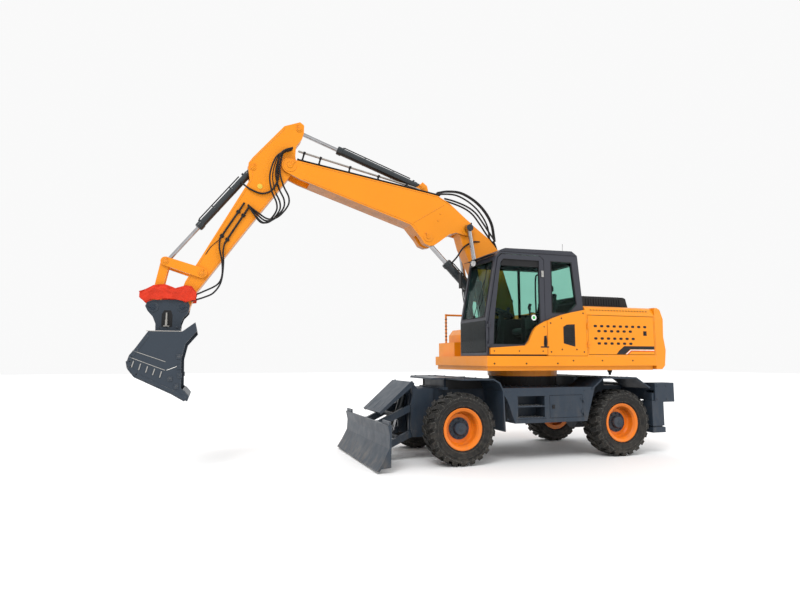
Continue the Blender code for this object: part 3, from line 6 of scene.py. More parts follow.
import bmesh
import bpy
from mathutils import Vector, noise
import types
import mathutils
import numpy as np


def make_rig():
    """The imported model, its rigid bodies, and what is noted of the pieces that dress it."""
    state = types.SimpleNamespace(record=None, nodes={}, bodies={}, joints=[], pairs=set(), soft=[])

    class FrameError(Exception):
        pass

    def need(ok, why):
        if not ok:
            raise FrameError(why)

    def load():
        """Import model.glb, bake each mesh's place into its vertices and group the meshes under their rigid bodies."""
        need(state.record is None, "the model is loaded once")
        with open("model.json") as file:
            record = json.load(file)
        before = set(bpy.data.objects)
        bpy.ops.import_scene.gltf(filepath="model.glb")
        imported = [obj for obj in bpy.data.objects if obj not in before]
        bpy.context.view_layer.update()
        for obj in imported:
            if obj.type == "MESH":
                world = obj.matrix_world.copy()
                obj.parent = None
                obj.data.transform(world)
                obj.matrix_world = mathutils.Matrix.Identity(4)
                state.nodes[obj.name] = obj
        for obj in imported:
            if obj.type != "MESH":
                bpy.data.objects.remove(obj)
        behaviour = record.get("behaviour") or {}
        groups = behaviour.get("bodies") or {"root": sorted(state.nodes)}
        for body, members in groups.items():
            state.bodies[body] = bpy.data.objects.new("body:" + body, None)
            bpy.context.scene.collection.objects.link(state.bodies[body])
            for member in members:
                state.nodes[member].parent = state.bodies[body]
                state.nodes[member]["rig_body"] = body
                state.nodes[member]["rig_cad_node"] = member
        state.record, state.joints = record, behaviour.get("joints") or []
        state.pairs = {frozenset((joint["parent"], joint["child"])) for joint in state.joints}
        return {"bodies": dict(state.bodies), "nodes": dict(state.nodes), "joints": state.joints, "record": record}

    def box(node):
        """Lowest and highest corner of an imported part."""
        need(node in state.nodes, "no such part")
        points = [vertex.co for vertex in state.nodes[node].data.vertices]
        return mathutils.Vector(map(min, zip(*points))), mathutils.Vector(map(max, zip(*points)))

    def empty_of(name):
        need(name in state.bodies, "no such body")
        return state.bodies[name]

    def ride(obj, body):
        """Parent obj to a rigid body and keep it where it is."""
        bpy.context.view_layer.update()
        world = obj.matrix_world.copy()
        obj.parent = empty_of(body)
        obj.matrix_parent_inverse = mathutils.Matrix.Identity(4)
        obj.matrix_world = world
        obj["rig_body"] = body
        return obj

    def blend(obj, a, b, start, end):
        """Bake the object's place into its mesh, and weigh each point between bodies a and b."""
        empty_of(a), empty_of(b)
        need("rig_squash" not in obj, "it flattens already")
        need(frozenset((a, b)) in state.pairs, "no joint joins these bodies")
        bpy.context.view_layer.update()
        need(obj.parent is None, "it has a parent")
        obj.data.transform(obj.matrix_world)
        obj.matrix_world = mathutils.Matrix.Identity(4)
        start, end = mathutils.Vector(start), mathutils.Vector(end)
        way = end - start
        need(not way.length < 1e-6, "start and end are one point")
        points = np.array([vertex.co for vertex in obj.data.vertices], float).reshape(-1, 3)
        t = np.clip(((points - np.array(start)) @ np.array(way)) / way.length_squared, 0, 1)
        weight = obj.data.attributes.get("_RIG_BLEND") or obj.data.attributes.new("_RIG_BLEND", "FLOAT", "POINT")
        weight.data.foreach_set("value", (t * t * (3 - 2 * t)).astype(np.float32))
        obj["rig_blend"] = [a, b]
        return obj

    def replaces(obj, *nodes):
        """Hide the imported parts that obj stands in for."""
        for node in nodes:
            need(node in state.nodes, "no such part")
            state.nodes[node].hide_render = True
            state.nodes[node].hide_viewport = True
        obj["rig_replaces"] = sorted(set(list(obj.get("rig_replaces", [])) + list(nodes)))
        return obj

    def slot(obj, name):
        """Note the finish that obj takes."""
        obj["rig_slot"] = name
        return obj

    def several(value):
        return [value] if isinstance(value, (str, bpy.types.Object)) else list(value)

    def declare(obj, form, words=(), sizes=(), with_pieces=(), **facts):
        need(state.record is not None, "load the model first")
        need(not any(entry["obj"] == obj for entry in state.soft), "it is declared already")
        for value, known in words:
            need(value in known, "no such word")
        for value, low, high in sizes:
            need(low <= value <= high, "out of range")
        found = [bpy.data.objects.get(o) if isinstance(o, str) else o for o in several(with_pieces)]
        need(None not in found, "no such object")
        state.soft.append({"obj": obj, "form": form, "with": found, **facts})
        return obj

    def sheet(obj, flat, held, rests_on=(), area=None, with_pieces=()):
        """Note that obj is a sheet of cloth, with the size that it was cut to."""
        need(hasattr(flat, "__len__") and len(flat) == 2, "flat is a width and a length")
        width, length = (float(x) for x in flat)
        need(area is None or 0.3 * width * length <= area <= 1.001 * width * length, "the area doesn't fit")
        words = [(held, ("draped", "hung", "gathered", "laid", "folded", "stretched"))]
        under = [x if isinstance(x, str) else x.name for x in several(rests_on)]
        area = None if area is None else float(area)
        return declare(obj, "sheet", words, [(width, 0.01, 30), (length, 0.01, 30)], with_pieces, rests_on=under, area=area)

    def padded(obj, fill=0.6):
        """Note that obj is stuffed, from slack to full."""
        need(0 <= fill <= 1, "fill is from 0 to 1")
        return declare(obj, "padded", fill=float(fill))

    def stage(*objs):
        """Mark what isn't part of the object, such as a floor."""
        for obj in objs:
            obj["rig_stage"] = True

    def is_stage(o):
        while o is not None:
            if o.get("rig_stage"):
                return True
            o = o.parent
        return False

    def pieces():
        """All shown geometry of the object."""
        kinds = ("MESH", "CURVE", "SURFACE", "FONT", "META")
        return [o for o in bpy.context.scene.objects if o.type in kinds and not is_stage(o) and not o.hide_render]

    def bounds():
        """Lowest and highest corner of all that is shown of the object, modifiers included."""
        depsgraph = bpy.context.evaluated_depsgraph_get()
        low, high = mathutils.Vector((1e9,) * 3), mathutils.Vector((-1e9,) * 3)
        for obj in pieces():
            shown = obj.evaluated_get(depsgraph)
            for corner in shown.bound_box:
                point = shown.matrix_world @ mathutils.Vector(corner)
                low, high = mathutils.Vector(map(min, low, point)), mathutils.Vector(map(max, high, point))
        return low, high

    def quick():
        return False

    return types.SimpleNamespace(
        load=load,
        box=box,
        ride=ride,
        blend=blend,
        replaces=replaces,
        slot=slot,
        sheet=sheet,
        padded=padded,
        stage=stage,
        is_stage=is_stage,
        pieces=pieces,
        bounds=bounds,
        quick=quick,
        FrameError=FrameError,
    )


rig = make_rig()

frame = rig.load()
CAD_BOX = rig.bounds()
NODES = frame["nodes"]

# ------------------------------------------------------------- the machine's own measures
FRONT_X = 1.429
TRACK_Y = 0.932
BOOM_Y = -0.10
PANEL_Y = 1.2002

X = Vector((1, 0, 0))
Y = Vector((0, 1, 0))
Z = Vector((0, 0, 1))

low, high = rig.box("front_left_tyre")
SHIFT = FRONT_X - (low.x + high.x) / 2
AXLE_Z = (low.z + high.z) / 2


def at(x, y, z):
    """A point given from the middle of the wheelbase, in the row frame."""
    return Vector((x - SHIFT, y, z))


class Link:
    """A boom or arm: points are given along it and across it, from its start pin."""

    def __init__(self, start, length, degrees):
        self.start = Vector(start)
        turn = math.radians(degrees)
        self.along = Vector((math.cos(turn), math.sin(turn)))
        self.across = Vector((-math.sin(turn), math.cos(turn)))
        self.length = length
        self.end = self.start + self.along * length

    def xz(self, along, across):
        return tuple(self.start + self.along * along + self.across * across)

    def at(self, along, across, y=0.0):
        x, z = self.xz(along, across)
        return at(x, BOOM_Y + y, z)


BASE = Link((-0.05, 1.90), 2.108, 65.6)
UPPER = Link(BASE.end, 3.182, 14.6)
ARM = Link(UPPER.end, 2.755, -56.7)
TOOL = Link(ARM.end, 1.0, 0.0)
LIFT_BASE = (0.48, 1.74)
ADJUST_BASE = BASE.xz(0.952, -0.26)
ADJUST_TOP = UPPER.xz(0.659, -0.367)
ARM_CYLINDER_BASE = UPPER.xz(0.950, 0.476)
ARM_CYLINDER_TOP = ARM.xz(-0.603, 0.229)
BUCKET_CYLINDER_BASE = ARM.xz(0.383, 0.428)
ROCKER_PIN = ARM.xz(2.186, 0.075)
ROCKER_TOP = TOOL.xz(0.259, 0.668)
LINK_PIN = TOOL.xz(0.392, -0.014)


# ------------------------------------------------------------- materials
class Nodes:
    """Short words for building a material's nodes."""

    def __init__(self, name):
        self.material = bpy.data.materials.new(name)
        self.material.use_nodes = True
        self.tree = self.material.node_tree
        self.shader = self.tree.nodes["Principled BSDF"]
        coordinates = self.tree.nodes.new("ShaderNodeTexCoord")
        self.place = coordinates.outputs["Object"]
        self.facing = coordinates.outputs["Normal"]

    def link(self, a, b):
        self.tree.links.new(a, b)

    def set(self, **values):
        for key, value in values.items():
            self.shader.inputs[key.replace("_", " ")].default_value = value

    def noise(self, scale, detail=4.0, rough=0.55, distort=0.0, stretch=None):
        node = self.tree.nodes.new("ShaderNodeTexNoise")
        node.inputs["Scale"].default_value = scale
        node.inputs["Detail"].default_value = detail
        node.inputs["Roughness"].default_value = rough
        node.inputs["Distortion"].default_value = distort
        source = self.place
        if stretch is not None:
            mapping = self.tree.nodes.new("ShaderNodeMapping")
            mapping.inputs["Scale"].default_value = stretch
            self.link(self.place, mapping.inputs["Vector"])
            source = mapping.outputs["Vector"]
        self.link(source, node.inputs["Vector"])
        return node.outputs["Fac"]

    def ramp(self, source, low_at, high_at, low=0.0, high=1.0):
        node = self.tree.nodes.new("ShaderNodeMapRange")
        node.inputs["From Min"].default_value = low_at
        node.inputs["From Max"].default_value = high_at
        node.inputs["To Min"].default_value = low
        node.inputs["To Max"].default_value = high
        self.link(source, node.inputs["Value"])
        return node.outputs["Result"]

    def maths(self, operation, a, b):
        node = self.tree.nodes.new("ShaderNodeMath")
        node.operation = operation
        node.use_clamp = True
        for socket, value in ((node.inputs[0], a), (node.inputs[1], b)):
            if isinstance(value, (int, float)):
                socket.default_value = value
            else:
                self.link(value, socket)
        return node.outputs[0]

    def mix(self, factor, a, b):
        node = self.tree.nodes.new("ShaderNodeMix")
        node.data_type = "RGBA"
        self.link(factor, node.inputs["Factor"])
        for socket, value in ((node.inputs["A"], a), (node.inputs["B"], b)):
            if isinstance(value, tuple):
                socket.default_value = (*value, 1.0)
            else:
                self.link(value, socket)
        return node.outputs["Result"]

    def height(self):
        node = self.tree.nodes.new("ShaderNodeSeparateXYZ")
        self.link(self.place, node.inputs["Vector"])
        return node.outputs["Z"]

    def underneath(self):
        """Bright on faces that look down: the mask of the painted shade on undersides."""
        node = self.tree.nodes.new("ShaderNodeSeparateXYZ")
        self.link(self.facing, node.inputs["Vector"])
        return self.ramp(node.outputs["Z"], -0.15, -0.80)

    def edges(self, radius=0.010):
        """Bright along corners: where the rounded normal leaves the true one."""
        round_off = self.tree.nodes.new("ShaderNodeBevel")
        round_off.samples = 3
        round_off.inputs["Radius"].default_value = radius
        flat = self.tree.nodes.new("ShaderNodeNewGeometry")
        node = self.tree.nodes.new("ShaderNodeVectorMath")
        node.operation = "DOT_PRODUCT"
        self.link(round_off.outputs["Normal"], node.inputs[0])
        self.link(flat.outputs["Normal"], node.inputs[1])
        return self.ramp(node.outputs["Value"], 0.97, 0.80)

    def bump(self, source, strength, distance=0.001):
        node = self.tree.nodes.new("ShaderNodeBump")
        node.inputs["Strength"].default_value = strength
        node.inputs["Distance"].default_value = distance
        self.link(source, node.inputs["Height"])
        self.link(node.outputs["Normal"], self.shader.inputs["Normal"])

    def colour(self, source):
        self.link(source, self.shader.inputs["Base Color"])

    def rough(self, source):
        self.link(source, self.shader.inputs["Roughness"])


def shade(colour, factor):
    return tuple(min(1.0, c * factor) for c in colour)


def paint(name, colour, roughness, coat, dust_top=1.2, dust=0.5, wear=0.35, wear_and_highlight_colour=(0.30, 0.29, 0.28)):
    """Sprayed steel: faint cloudiness, orange peel, edges lightened partly by wear and partly as a painted highlight,
    dust low down, and painted shade on faces that look down.
    """
    n = Nodes(name)
    n.set(Roughness=roughness, Metallic=0.0, Coat_Weight=coat, Coat_Roughness=0.12, Specular_IOR_Level=0.22)
    clouds = n.ramp(n.noise(1.1, 3.0), 0.3, 0.7)
    body = n.mix(clouds, shade(colour, 0.97), shade(colour, 1.03))
    # edges mixed towards a lighter colour: partly wear, partly a painted highlight along the corners
    wear_and_highlight_edges = n.maths("MULTIPLY", n.edges(), n.ramp(n.noise(14.0, 6.0), 0.42, 0.60, 0.0, wear))
    body = n.mix(wear_and_highlight_edges, body, wear_and_highlight_colour)
    streaks = n.ramp(n.noise(9.0, 8.0, 0.65, stretch=(1.0, 1.0, 0.25)), 0.45, 0.75, 0.0, dust)
    low_down = n.ramp(n.height(), dust_top, 0.1, 0.0, 1.0)
    body = n.mix(n.maths("MULTIPLY", streaks, low_down), body, (0.20, 0.165, 0.125))
    # painted shade: faces that look down are darkened towards a fifth of the paint colour, broken up by noise
    underside_shade = n.maths("MULTIPLY", n.underneath(), n.ramp(n.noise(5.0, 6.0), 0.25, 0.6, 0.55, 0.80))
    body = n.mix(underside_shade, body, shade(colour, 0.22))
    n.colour(body)
    n.rough(n.ramp(n.noise(6.0, 6.0), 0.3, 0.7, roughness - 0.05, roughness + 0.10))
    n.bump(n.noise(160.0, 2.0), 0.06)
    return n.material


def moulded(name, colour, roughness, grain=220.0, strength=0.2, dust=0.0, dust_top=1.0, wear=0.0,
            shine=0.22):
    """Rubber or plastic with a fine grain, edges lightened as a painted highlight when wear is given, and dust where
    it is near the ground.
    """
    n = Nodes(name)
    n.set(Roughness=roughness, Specular_IOR_Level=shine)
    body = n.mix(n.ramp(n.noise(5.0, 6.0), 0.3, 0.7), shade(colour, 0.75), shade(colour, 1.35))
    # lighter edges: a painted highlight along the tyre lugs' edges, partly standing for dust
    if wear > 0.0:
        wear_and_highlight_edges = n.maths("MULTIPLY", n.edges(0.014), n.ramp(n.noise(24.0, 5.0), 0.40, 0.55, 0.0, wear))
        body = n.mix(wear_and_highlight_edges, body, (0.16, 0.155, 0.14))
    if dust > 0.0:
        spread = n.ramp(n.noise(11.0, 8.0, 0.7), 0.38, 0.72, 0.0, dust)
        body = n.mix(n.maths("MULTIPLY", spread, n.ramp(n.height(), dust_top, 0.0)), body,
                     (0.17, 0.145, 0.115))
    n.colour(body)
    n.rough(n.ramp(n.noise(20.0, 4.0), 0.3, 0.7, roughness - 0.08, min(1.0, roughness + 0.08)))
    n.bump(n.noise(grain, 3.0), strength)
    return n.material


def metal(name, colour, roughness, streak=(1.0, 1.0, 1.0)):
    n = Nodes(name)
    n.set(Metallic=1.0, Roughness=roughness)
    n.colour(n.mix(n.ramp(n.noise(8.0, 6.0), 0.3, 0.7), shade(colour, 0.86), colour))
    n.rough(n.ramp(n.noise(40.0, 4.0, stretch=streak), 0.3, 0.7, roughness, roughness + 0.12))
    n.bump(n.noise(300.0, 2.0), 0.03)
    return n.material


def glass(name, colour, roughness=0.02, transmission=0.92):
    n = Nodes(name)
    n.set(Roughness=roughness, IOR=1.15)
    n.shader.inputs["Transmission Weight"].default_value = transmission
    n.colour(n.mix(n.ramp(n.noise(1.2, 3.0), 0.3, 0.7), shade(colour, 0.92), colour))
    return n.material


def woven(name, colour, thread=900.0, strength=0.5, sheen=0.3):
    """Cloth: two sets of threads across each other over a soft mottle."""
    n = Nodes(name)
    n.set(Roughness=0.85)
    n.shader.inputs["Sheen Weight"].default_value = sheen
    n.shader.inputs["Sheen Roughness"].default_value = 0.5
    n.colour(n.mix(n.ramp(n.noise(7.0, 7.0), 0.3, 0.7), shade(colour, 0.72), shade(colour, 1.12)))
    waves = []
    for direction in ("X", "Z"):
        wave = n.tree.nodes.new("ShaderNodeTexWave")
        wave.bands_direction = direction
        wave.inputs["Scale"].default_value = thread / 20
        wave.inputs["Distortion"].default_value = 0.6
        n.link(n.place, wave.inputs["Vector"])
        waves.append(wave.outputs["Fac"])
    n.rough(n.ramp(n.noise(30.0, 4.0), 0.3, 0.7, 0.78, 0.95))
    n.bump(n.maths("MULTIPLY", *waves), strength, 0.0015)
    return n.material


ORANGE = (0.80, 0.262, 0.008)
SLATE = (0.026, 0.038, 0.055)
MAT = {
    # the wear amounts and edge colours below lighten the edges: partly wear, partly a painted highlight
    "orange": paint("orange_paint", ORANGE, 0.34, 0.10, wear=0.30),
    "rim_orange": paint("rim_paint", (0.78, 0.185, 0.008), 0.34, 0.1, dust=0.40, dust_top=1.0, wear=0.3),
    "slate": paint("slate_paint", SLATE, 0.42, 0.05, dust=0.32, wear=0.28, wear_and_highlight_colour=(0.14, 0.14, 0.15)),
    "tool": paint("tool_paint", (0.034, 0.045, 0.060), 0.42, 0.05, dust_top=0.4, wear=0.75,
                  wear_and_highlight_colour=(0.22, 0.21, 0.20)),
    "cab": paint("cab_paint", (0.038, 0.040, 0.051), 0.36, 0.1, dust=0.1, wear=0.15,
                 wear_and_highlight_colour=(0.12, 0.12, 0.13)),
    # black: real black parts, and also the flat plates that are painted shade in openings
    "black": moulded("black_plastic_and_painted_shade", (0.014, 0.014, 0.015), 0.55),
    # tyre: wear=0.9 lightens the lugs' edges as a painted highlight
    "tyre": moulded("tyre_rubber", (0.012, 0.012, 0.012), 0.72, 140.0, 0.35, dust=0.30, dust_top=1.25,
                    wear=0.9),
    "hose": moulded("hose_rubber", (0.012, 0.012, 0.013), 0.45, 90.0, 0.3),
    "barrel": paint("barrel_paint", (0.020, 0.026, 0.030), 0.35, 0.35, dust=0.1, wear=0.2),
    "chrome": metal("chrome_rod", (0.40, 0.40, 0.41), 0.16),
    "steel": metal("plain_steel", (0.45, 0.44, 0.42), 0.32),
    "pipe": metal("bright_pipe", (0.40, 0.385, 0.36), 0.28),
    "brass": metal("yellow_tag", (0.85, 0.62, 0.10), 0.4),
    "glass": glass("window_glass", (0.50, 0.76, 0.68), 0.02, 1.0),
    "red_film": moulded("red_film", (0.62, 0.05, 0.015), 0.45, 60.0, 0.05),
    "green": moulded("green_film", (0.06, 0.42, 0.10), 0.45, 60.0, 0.05),
    "gloss": moulded("gloss_panel", (0.010, 0.013, 0.014), 0.14, 40.0, 0.01, shine=0.06),
    "lens": glass("clear_lens", (0.95, 0.95, 0.95), 0.10, 0.7),
    "red_lens": glass("red_lens", (0.75, 0.02, 0.01), 0.12, 0.4),
    "amber_lens": glass("amber_lens", (0.95, 0.30, 0.02), 0.12, 0.4),
    "cloth": woven("red_cloth", (0.66, 0.030, 0.004), 700.0, 0.5, 0.04),
    "seat": woven("seat_fabric", (0.020, 0.021, 0.024)),
    "iron": moulded("cast_iron", (0.07, 0.07, 0.07), 0.6, 60.0, 0.5),
    "white": moulded("white_film", (0.72, 0.73, 0.74), 0.45, 60.0, 0.05),
    "screen": moulded("dark_screen", (0.01, 0.014, 0.02), 0.15, 60.0, 0.02),
}
NODE_LOOK = {
    "orange": "orange", "slate": "slate", "cab_grey": "cab", "black": "black", "rubber": "tyre",
    "steel": "chrome", "cylinder_black": "barrel", "cloth_red": "cloth", "seat_black": "seat",
    "engine_grey": "iron",
}
SLOT_OF = {row["node"]: row["material_slot"] for row in frame["record"]["subparts"]}
TOOL_NODES = ("bucket", "bucket_bracket", "blade")


def dress_nodes():
    """Gives each CAD node its material, and softens the edges of all but the round ones."""
    for name, obj in NODES.items():
        look = NODE_LOOK[SLOT_OF[name]]
        if name in TOOL_NODES:
            look = "tool"
        if name.endswith("_rim"):
            look = "rim_orange"
        obj.data.materials.clear()
        obj.data.materials.append(MAT[look])
        if not name.endswith(("_rod", "_tyre")):
            soften(obj, EDGE.get(name, 0.006), 38)


def soften(obj, width, degrees):
    """Rounds a mesh's edges that are sharper than an angle."""
    bevel = obj.modifiers.new("soft_edges", "BEVEL")
    bevel.width = width
    bevel.segments = 2
    bevel.limit_method = "ANGLE"
    bevel.angle_limit = math.radians(degrees)
    bevel.harden_normals = True


def placed(bm, name, material):
    """Turns a bmesh into an object of the scene, with one material."""
    mesh = bpy.data.meshes.new(name)
    bm.to_mesh(mesh)
    bm.free()
    mesh.materials.append(material)
    obj = bpy.data.objects.new(name, mesh)
    bpy.context.scene.collection.objects.link(obj)
    return obj


def spoke(radius, turn, y=0.0):
    """The way from a wheel's middle to a point round it."""
    return Vector((radius * math.cos(turn), y, radius * math.sin(turn)))


EDGE = dict.fromkeys(("engine_cowl", "engine_hood", "left_engine_door", "right_engine_door",
                      "toolbox_door", "left_side_panel", "front_left_rim", "front_right_rim",
                      "rear_left_rim", "rear_right_rim"), 0.004)
EDGE.update(counterweight=0.03, base_boom=0.012, upper_boom=0.012, arm=0.010, deck_frame=0.012,
            stabiliser_beam=0.018, cab_shell=0.012, cab_door=0.008)


# ------------------------------------------------------------- mesh helpers
class Piece:
    """One visible object built up from simple solids in the row frame."""

    def __init__(self, name, look, body, slot="black", bevel=0.0, smooth=40.0):
        self.bm = bmesh.new()
        self.name = name
        self.look = look
        self.body = body
        self.slot_name = slot
        self.bevel = bevel
        self.smooth = smooth

    def loft(self, rings, caps=True, closed=False):
        loops = [[self.bm.verts.new(p) for p in ring] for ring in rings]
        pairs = list(zip(loops, loops[1:]))
        if closed:
            pairs.append((loops[-1], loops[0]))
        count = len(loops[0])
        for a, b in pairs:
            for i in range(count):
                j = (i + 1) % count
                self.bm.faces.new((a[i], a[j], b[j], b[i]))
        if caps and not closed:
            self.bm.faces.new(loops[0])
            self.bm.faces.new(loops[-1])
        return self

    def prism(self, outline, y0, y1):
        """An outline of (x, z) points from the wheelbase's middle, pushed from y0 to y1."""
        return self.loft([[at(x, y, z) for x, z in outline] for y in (y0, y1)])

    def block(self, x0, x1, y0, y1, z0, z1):
        return self.prism([(x0, z0), (x1, z0), (x1, z1), (x0, z1)], y0, y1)

    def plate(self, link, outline, y0, y1):
        """An outline of points along and across a link, pushed from y0 to y1."""
        return self.loft([[link.at(u, v, y) for u, v in outline] for y in (y0, y1)])

    def bar(self, start, end, radius, sides=12, end_radius=None):
        axis = (end - start).normalized()
        side = axis.orthogonal().normalized()
        other = axis.cross(side)
        rings = []
        for centre, r in ((start, radius), (end, radius if end_radius is None else end_radius)):
            rings.append([centre + (side * math.cos(a) + other * math.sin(a)) * r
                          for a in (2 * math.pi * i / sides for i in range(sides))])
        return self.loft(rings)

    def ring(self, centre, axis, outer, inner, depth, sides=28):
        axis = axis.normalized()
        side = axis.orthogonal().normalized()
        other = axis.cross(side)
        half = depth / 2
        profile = ((outer, -half), (outer, half), (inner, half), (inner, -half))
        rings = []
        for i in range(sides):
            turn = 2 * math.pi * i / sides
            out = side * math.cos(turn) + other * math.sin(turn)
            rings.append([centre + out * r + axis * d for r, d in profile])
        return self.loft(rings, closed=True)

    def bolt(self, centre, axis, radius=0.014, height=0.010):
        """A hexagon head on a washer."""
        axis = axis.normalized()
        self.bar(centre - axis * 0.002, centre + axis * 0.003, radius * 1.35, 12)
        return self.bar(centre, centre + axis * height, radius, 6, radius * 0.93)

    def tube(self, points, radius, sides=10, steps=7):
        """A round hose through all the points, with a smooth line between them."""
        path = smooth_path(points, steps)
        side = (path[1] - path[0]).orthogonal().normalized()
        rings = []
        for i, point in enumerate(path):
            along = (path[min(i + 1, len(path) - 1)] - path[max(i - 1, 0)]).normalized()
            side = (side - along * side.dot(along)).normalized()
            other = along.cross(side)
            rings.append([point + (side * math.cos(a) + other * math.sin(a)) * radius
                          for a in (2 * math.pi * k / sides for k in range(sides))])
        return self.loft(rings)

    def done(self, ride=True):
        bmesh.ops.recalc_face_normals(self.bm, faces=self.bm.faces)
        obj = placed(self.bm, self.name, MAT[self.look])
        obj.data.shade_smooth()
        obj.data.set_sharp_from_angle(angle=math.radians(self.smooth))
        if self.bevel > 0.0:
            soften(obj, self.bevel, 40)
        if ride:
            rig.ride(obj, self.body)
        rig.slot(obj, self.slot_name)
        return obj


def smooth_path(points, steps):
    """Catmull-Rom points through the given ones."""
    points = [Vector(p) for p in points]
    extended = [points[0] * 2 - points[1]] + points + [points[-1] * 2 - points[-2]]
    path = []
    for a, b, c, d in zip(extended, extended[1:], extended[2:], extended[3:]):
        for step in range(steps):
            t = step / steps
            path.append(0.5 * ((2 * b) + (c - a) * t + (2 * a - 5 * b + 4 * c - d) * t * t
                               + (3 * b - a - 3 * c + d) * t ** 3))
    path.append(points[-1])
    return path


# ------------------------------------------------------------- wheels
def build_tyre(name, x, side):
    """A radial tyre: rounded walls with ribs, and two rows of slanting lugs round the tread."""
    centre = at(x, side * TRACK_Y, AXLE_Z)
    low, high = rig.box(f"{name}_rim")
    rim_half = (high.y - low.y) / 2
    line = [(0.2607, rim_half - 0.037), (0.3140, rim_half - 0.019), (0.334, 0.172), (0.342, 0.182),
            (0.352, 0.180), (0.400, 0.195), (0.412, 0.197), (0.418, 0.1935), (0.458, 0.193),
            (0.464, 0.197), (0.482, 0.190), (0.490, 0.172), (0.495, 0.140), (0.497, 0.060)]
    line += [(r, -y) for r, y in reversed(line)]
    piece = Piece(f"{name}_tread", "tyre", f"{name}_wheel", "rubber")
    count = 72
    rings = []
    for i in range(count):
        turn = 2 * math.pi * i / count
        rings.append([centre + spoke(r, turn, y) for r, y in line])
    piece.loft(rings, closed=True)
    stations = ((0.008, 0.5290, 0.066, -0.030), (0.020, 0.5345, 0.070, -0.022),
                (0.085, 0.5345, 0.078, 0.016), (0.150, 0.5330, 0.088, 0.062),
                (0.176, 0.5240, 0.088, 0.078), (0.1955, 0.4960, 0.078, 0.092),
                (0.1975, 0.4700, 0.060, 0.100))
    lugs = 22
    for row in (1, -1):
        for i in range(lugs):
            turn = 2 * math.pi * (i + (0.25 if row > 0 else 0.75)) / lugs
            loops = []
            for y, r, half, lean in stations:
                middle = turn + lean * side
                foot = 0.478 if y < 0.19 else r - 0.03
                points = ((foot, -half * 1.12), (r, -half * 0.86), (r, half * 0.86), (foot, half * 1.12))
                loops.append([centre + spoke(q, middle + a, row * y) for q, a in points])
            piece.loft(loops)
    piece.bevel = 0.003
    piece.smooth = 32.0
    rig.replaces(piece.done(), f"{name}_tyre")


def build_hub(name, x, side):
    """The dark planetary hub with its bolts, the wheel nuts, the lock ring and the valve."""
    centre = at(x, side * TRACK_Y, AXLE_Z)
    out = Y * side
    line = ((0.030, 0.090), (0.036, 0.084), (0.086, 0.082), (0.0975, 0.070), (0.1005, 0.062),
            (0.1015, 0.018), (0.118, 0.014), (0.163, 0.013), (0.163, 0.001))
    piece = Piece(f"{name}_hub", "slate", f"{name}_wheel", "slate", smooth=35.0)
    count = 40
    rings = []
    for r, offset in line:
        rings.append([centre + out * offset + spoke(r, 2 * math.pi * i / count) for i in range(count)])
    piece.loft(rings)
    piece.done()
    bolts = Piece(f"{name}_bolts", "slate", f"{name}_wheel", "slate", smooth=30.0)
    for i in range(10):
        spot = spoke(0.141, 2 * math.pi * (i + 0.5) / 10)
        bolts.bolt(centre + spot + out * 0.012, out, 0.0135, 0.020)
        bolts.bar(centre + spot + out * 0.030, centre + spot + out * 0.040, 0.007, 10)
    for i in range(12):
        spot = spoke(0.088, 2 * math.pi * i / 12)
        bolts.bolt(centre + spot + out * 0.064, out, 0.0065, 0.006)
    bolts.bolt(centre + out * 0.086, out, 0.016, 0.010)
    bolts.done()
    ring = Piece(f"{name}_lock_ring", "rim_orange", f"{name}_wheel", "orange")
    for way in (1, -1):
        ring.ring(centre + Y * way * 0.146, Y, 0.307, 0.272, 0.010, 48)
    ring.tube([centre + out * 0.05 + Z * 0.228, centre + out * 0.085 + Z * 0.232,
               centre + out * 0.11 + Z * 0.226], 0.005)
    ring.done()


# ------------------------------------------------------------- cab
def grown(outline, factor):
    """The outline made larger round its middle."""
    cx = sum(p[0] for p in outline) / len(outline)
    cz = sum(p[1] for p in outline) / len(outline)
    return [(cx + (x - cx) * factor, cz + (z - cz) * factor) for x, z in outline]


DOOR_WINDOW = [(0.935, 1.79), (0.91, 2.20), (0.79, 3.06), (0.74, 3.12), (0.10, 3.12), (0.10, 2.14),
               (0.25, 2.02), (0.33, 1.86), (0.40, 1.79)]
REAR_SIDE_WINDOW = [(-0.12, 2.30), (-0.12, 3.12), (-0.50, 3.12), (-0.575, 2.45), (-0.42, 2.30)]
RIGHT_WINDOW = [(0.88, 2.25), (0.74, 3.10), (-0.48, 3.10), (-0.56, 2.45), (-0.56, 2.25)]


def front_plane(z, back=0.0):
    """Where the cab's sloping front is at a height, or a little behind it."""
    return 1.05 - 0.1869 * (z - 2.17) - back


def rear_plane(z, back=0.0):
    """Where the cab's rear wall is at a height, or a little inside it."""
    return -0.70 + 0.0952 * max(0.0, z - 2.40) + back


def build_glass():
    """Panes behind the windows, and the two sloping ones."""
    panes = (("door_glass", "cab_door", DOOR_WINDOW, 1.126),
             ("left_rear_glass", "upper", REAR_SIDE_WINDOW, 1.124),
             ("right_glass", "upper", RIGHT_WINDOW, 0.262))
    for name, body, outline, y in panes:
        Piece(name, "glass", body, "cab_grey").prism(grown(outline, 1.012), y, y + 0.005).done()
    low, high = 2.204, 3.106
    pane = Piece("windshield", "glass", "upper", "cab_grey")
    pane.prism([(front_plane(low, 0.020), low), (front_plane(high, 0.020), high),
                (front_plane(high, 0.026), high), (front_plane(low, 0.026), low)], 0.304, 1.086)
    pane.done()
    low, high = 2.494, 3.106
    pane = Piece("rear_glass", "glass", "upper", "cab_grey")
    pane.prism([(rear_plane(low, 0.020), low), (rear_plane(high, 0.020), high),
                (rear_plane(high, 0.026), high), (rear_plane(low, 0.026), low)], 0.334, 1.056)
    pane.done()


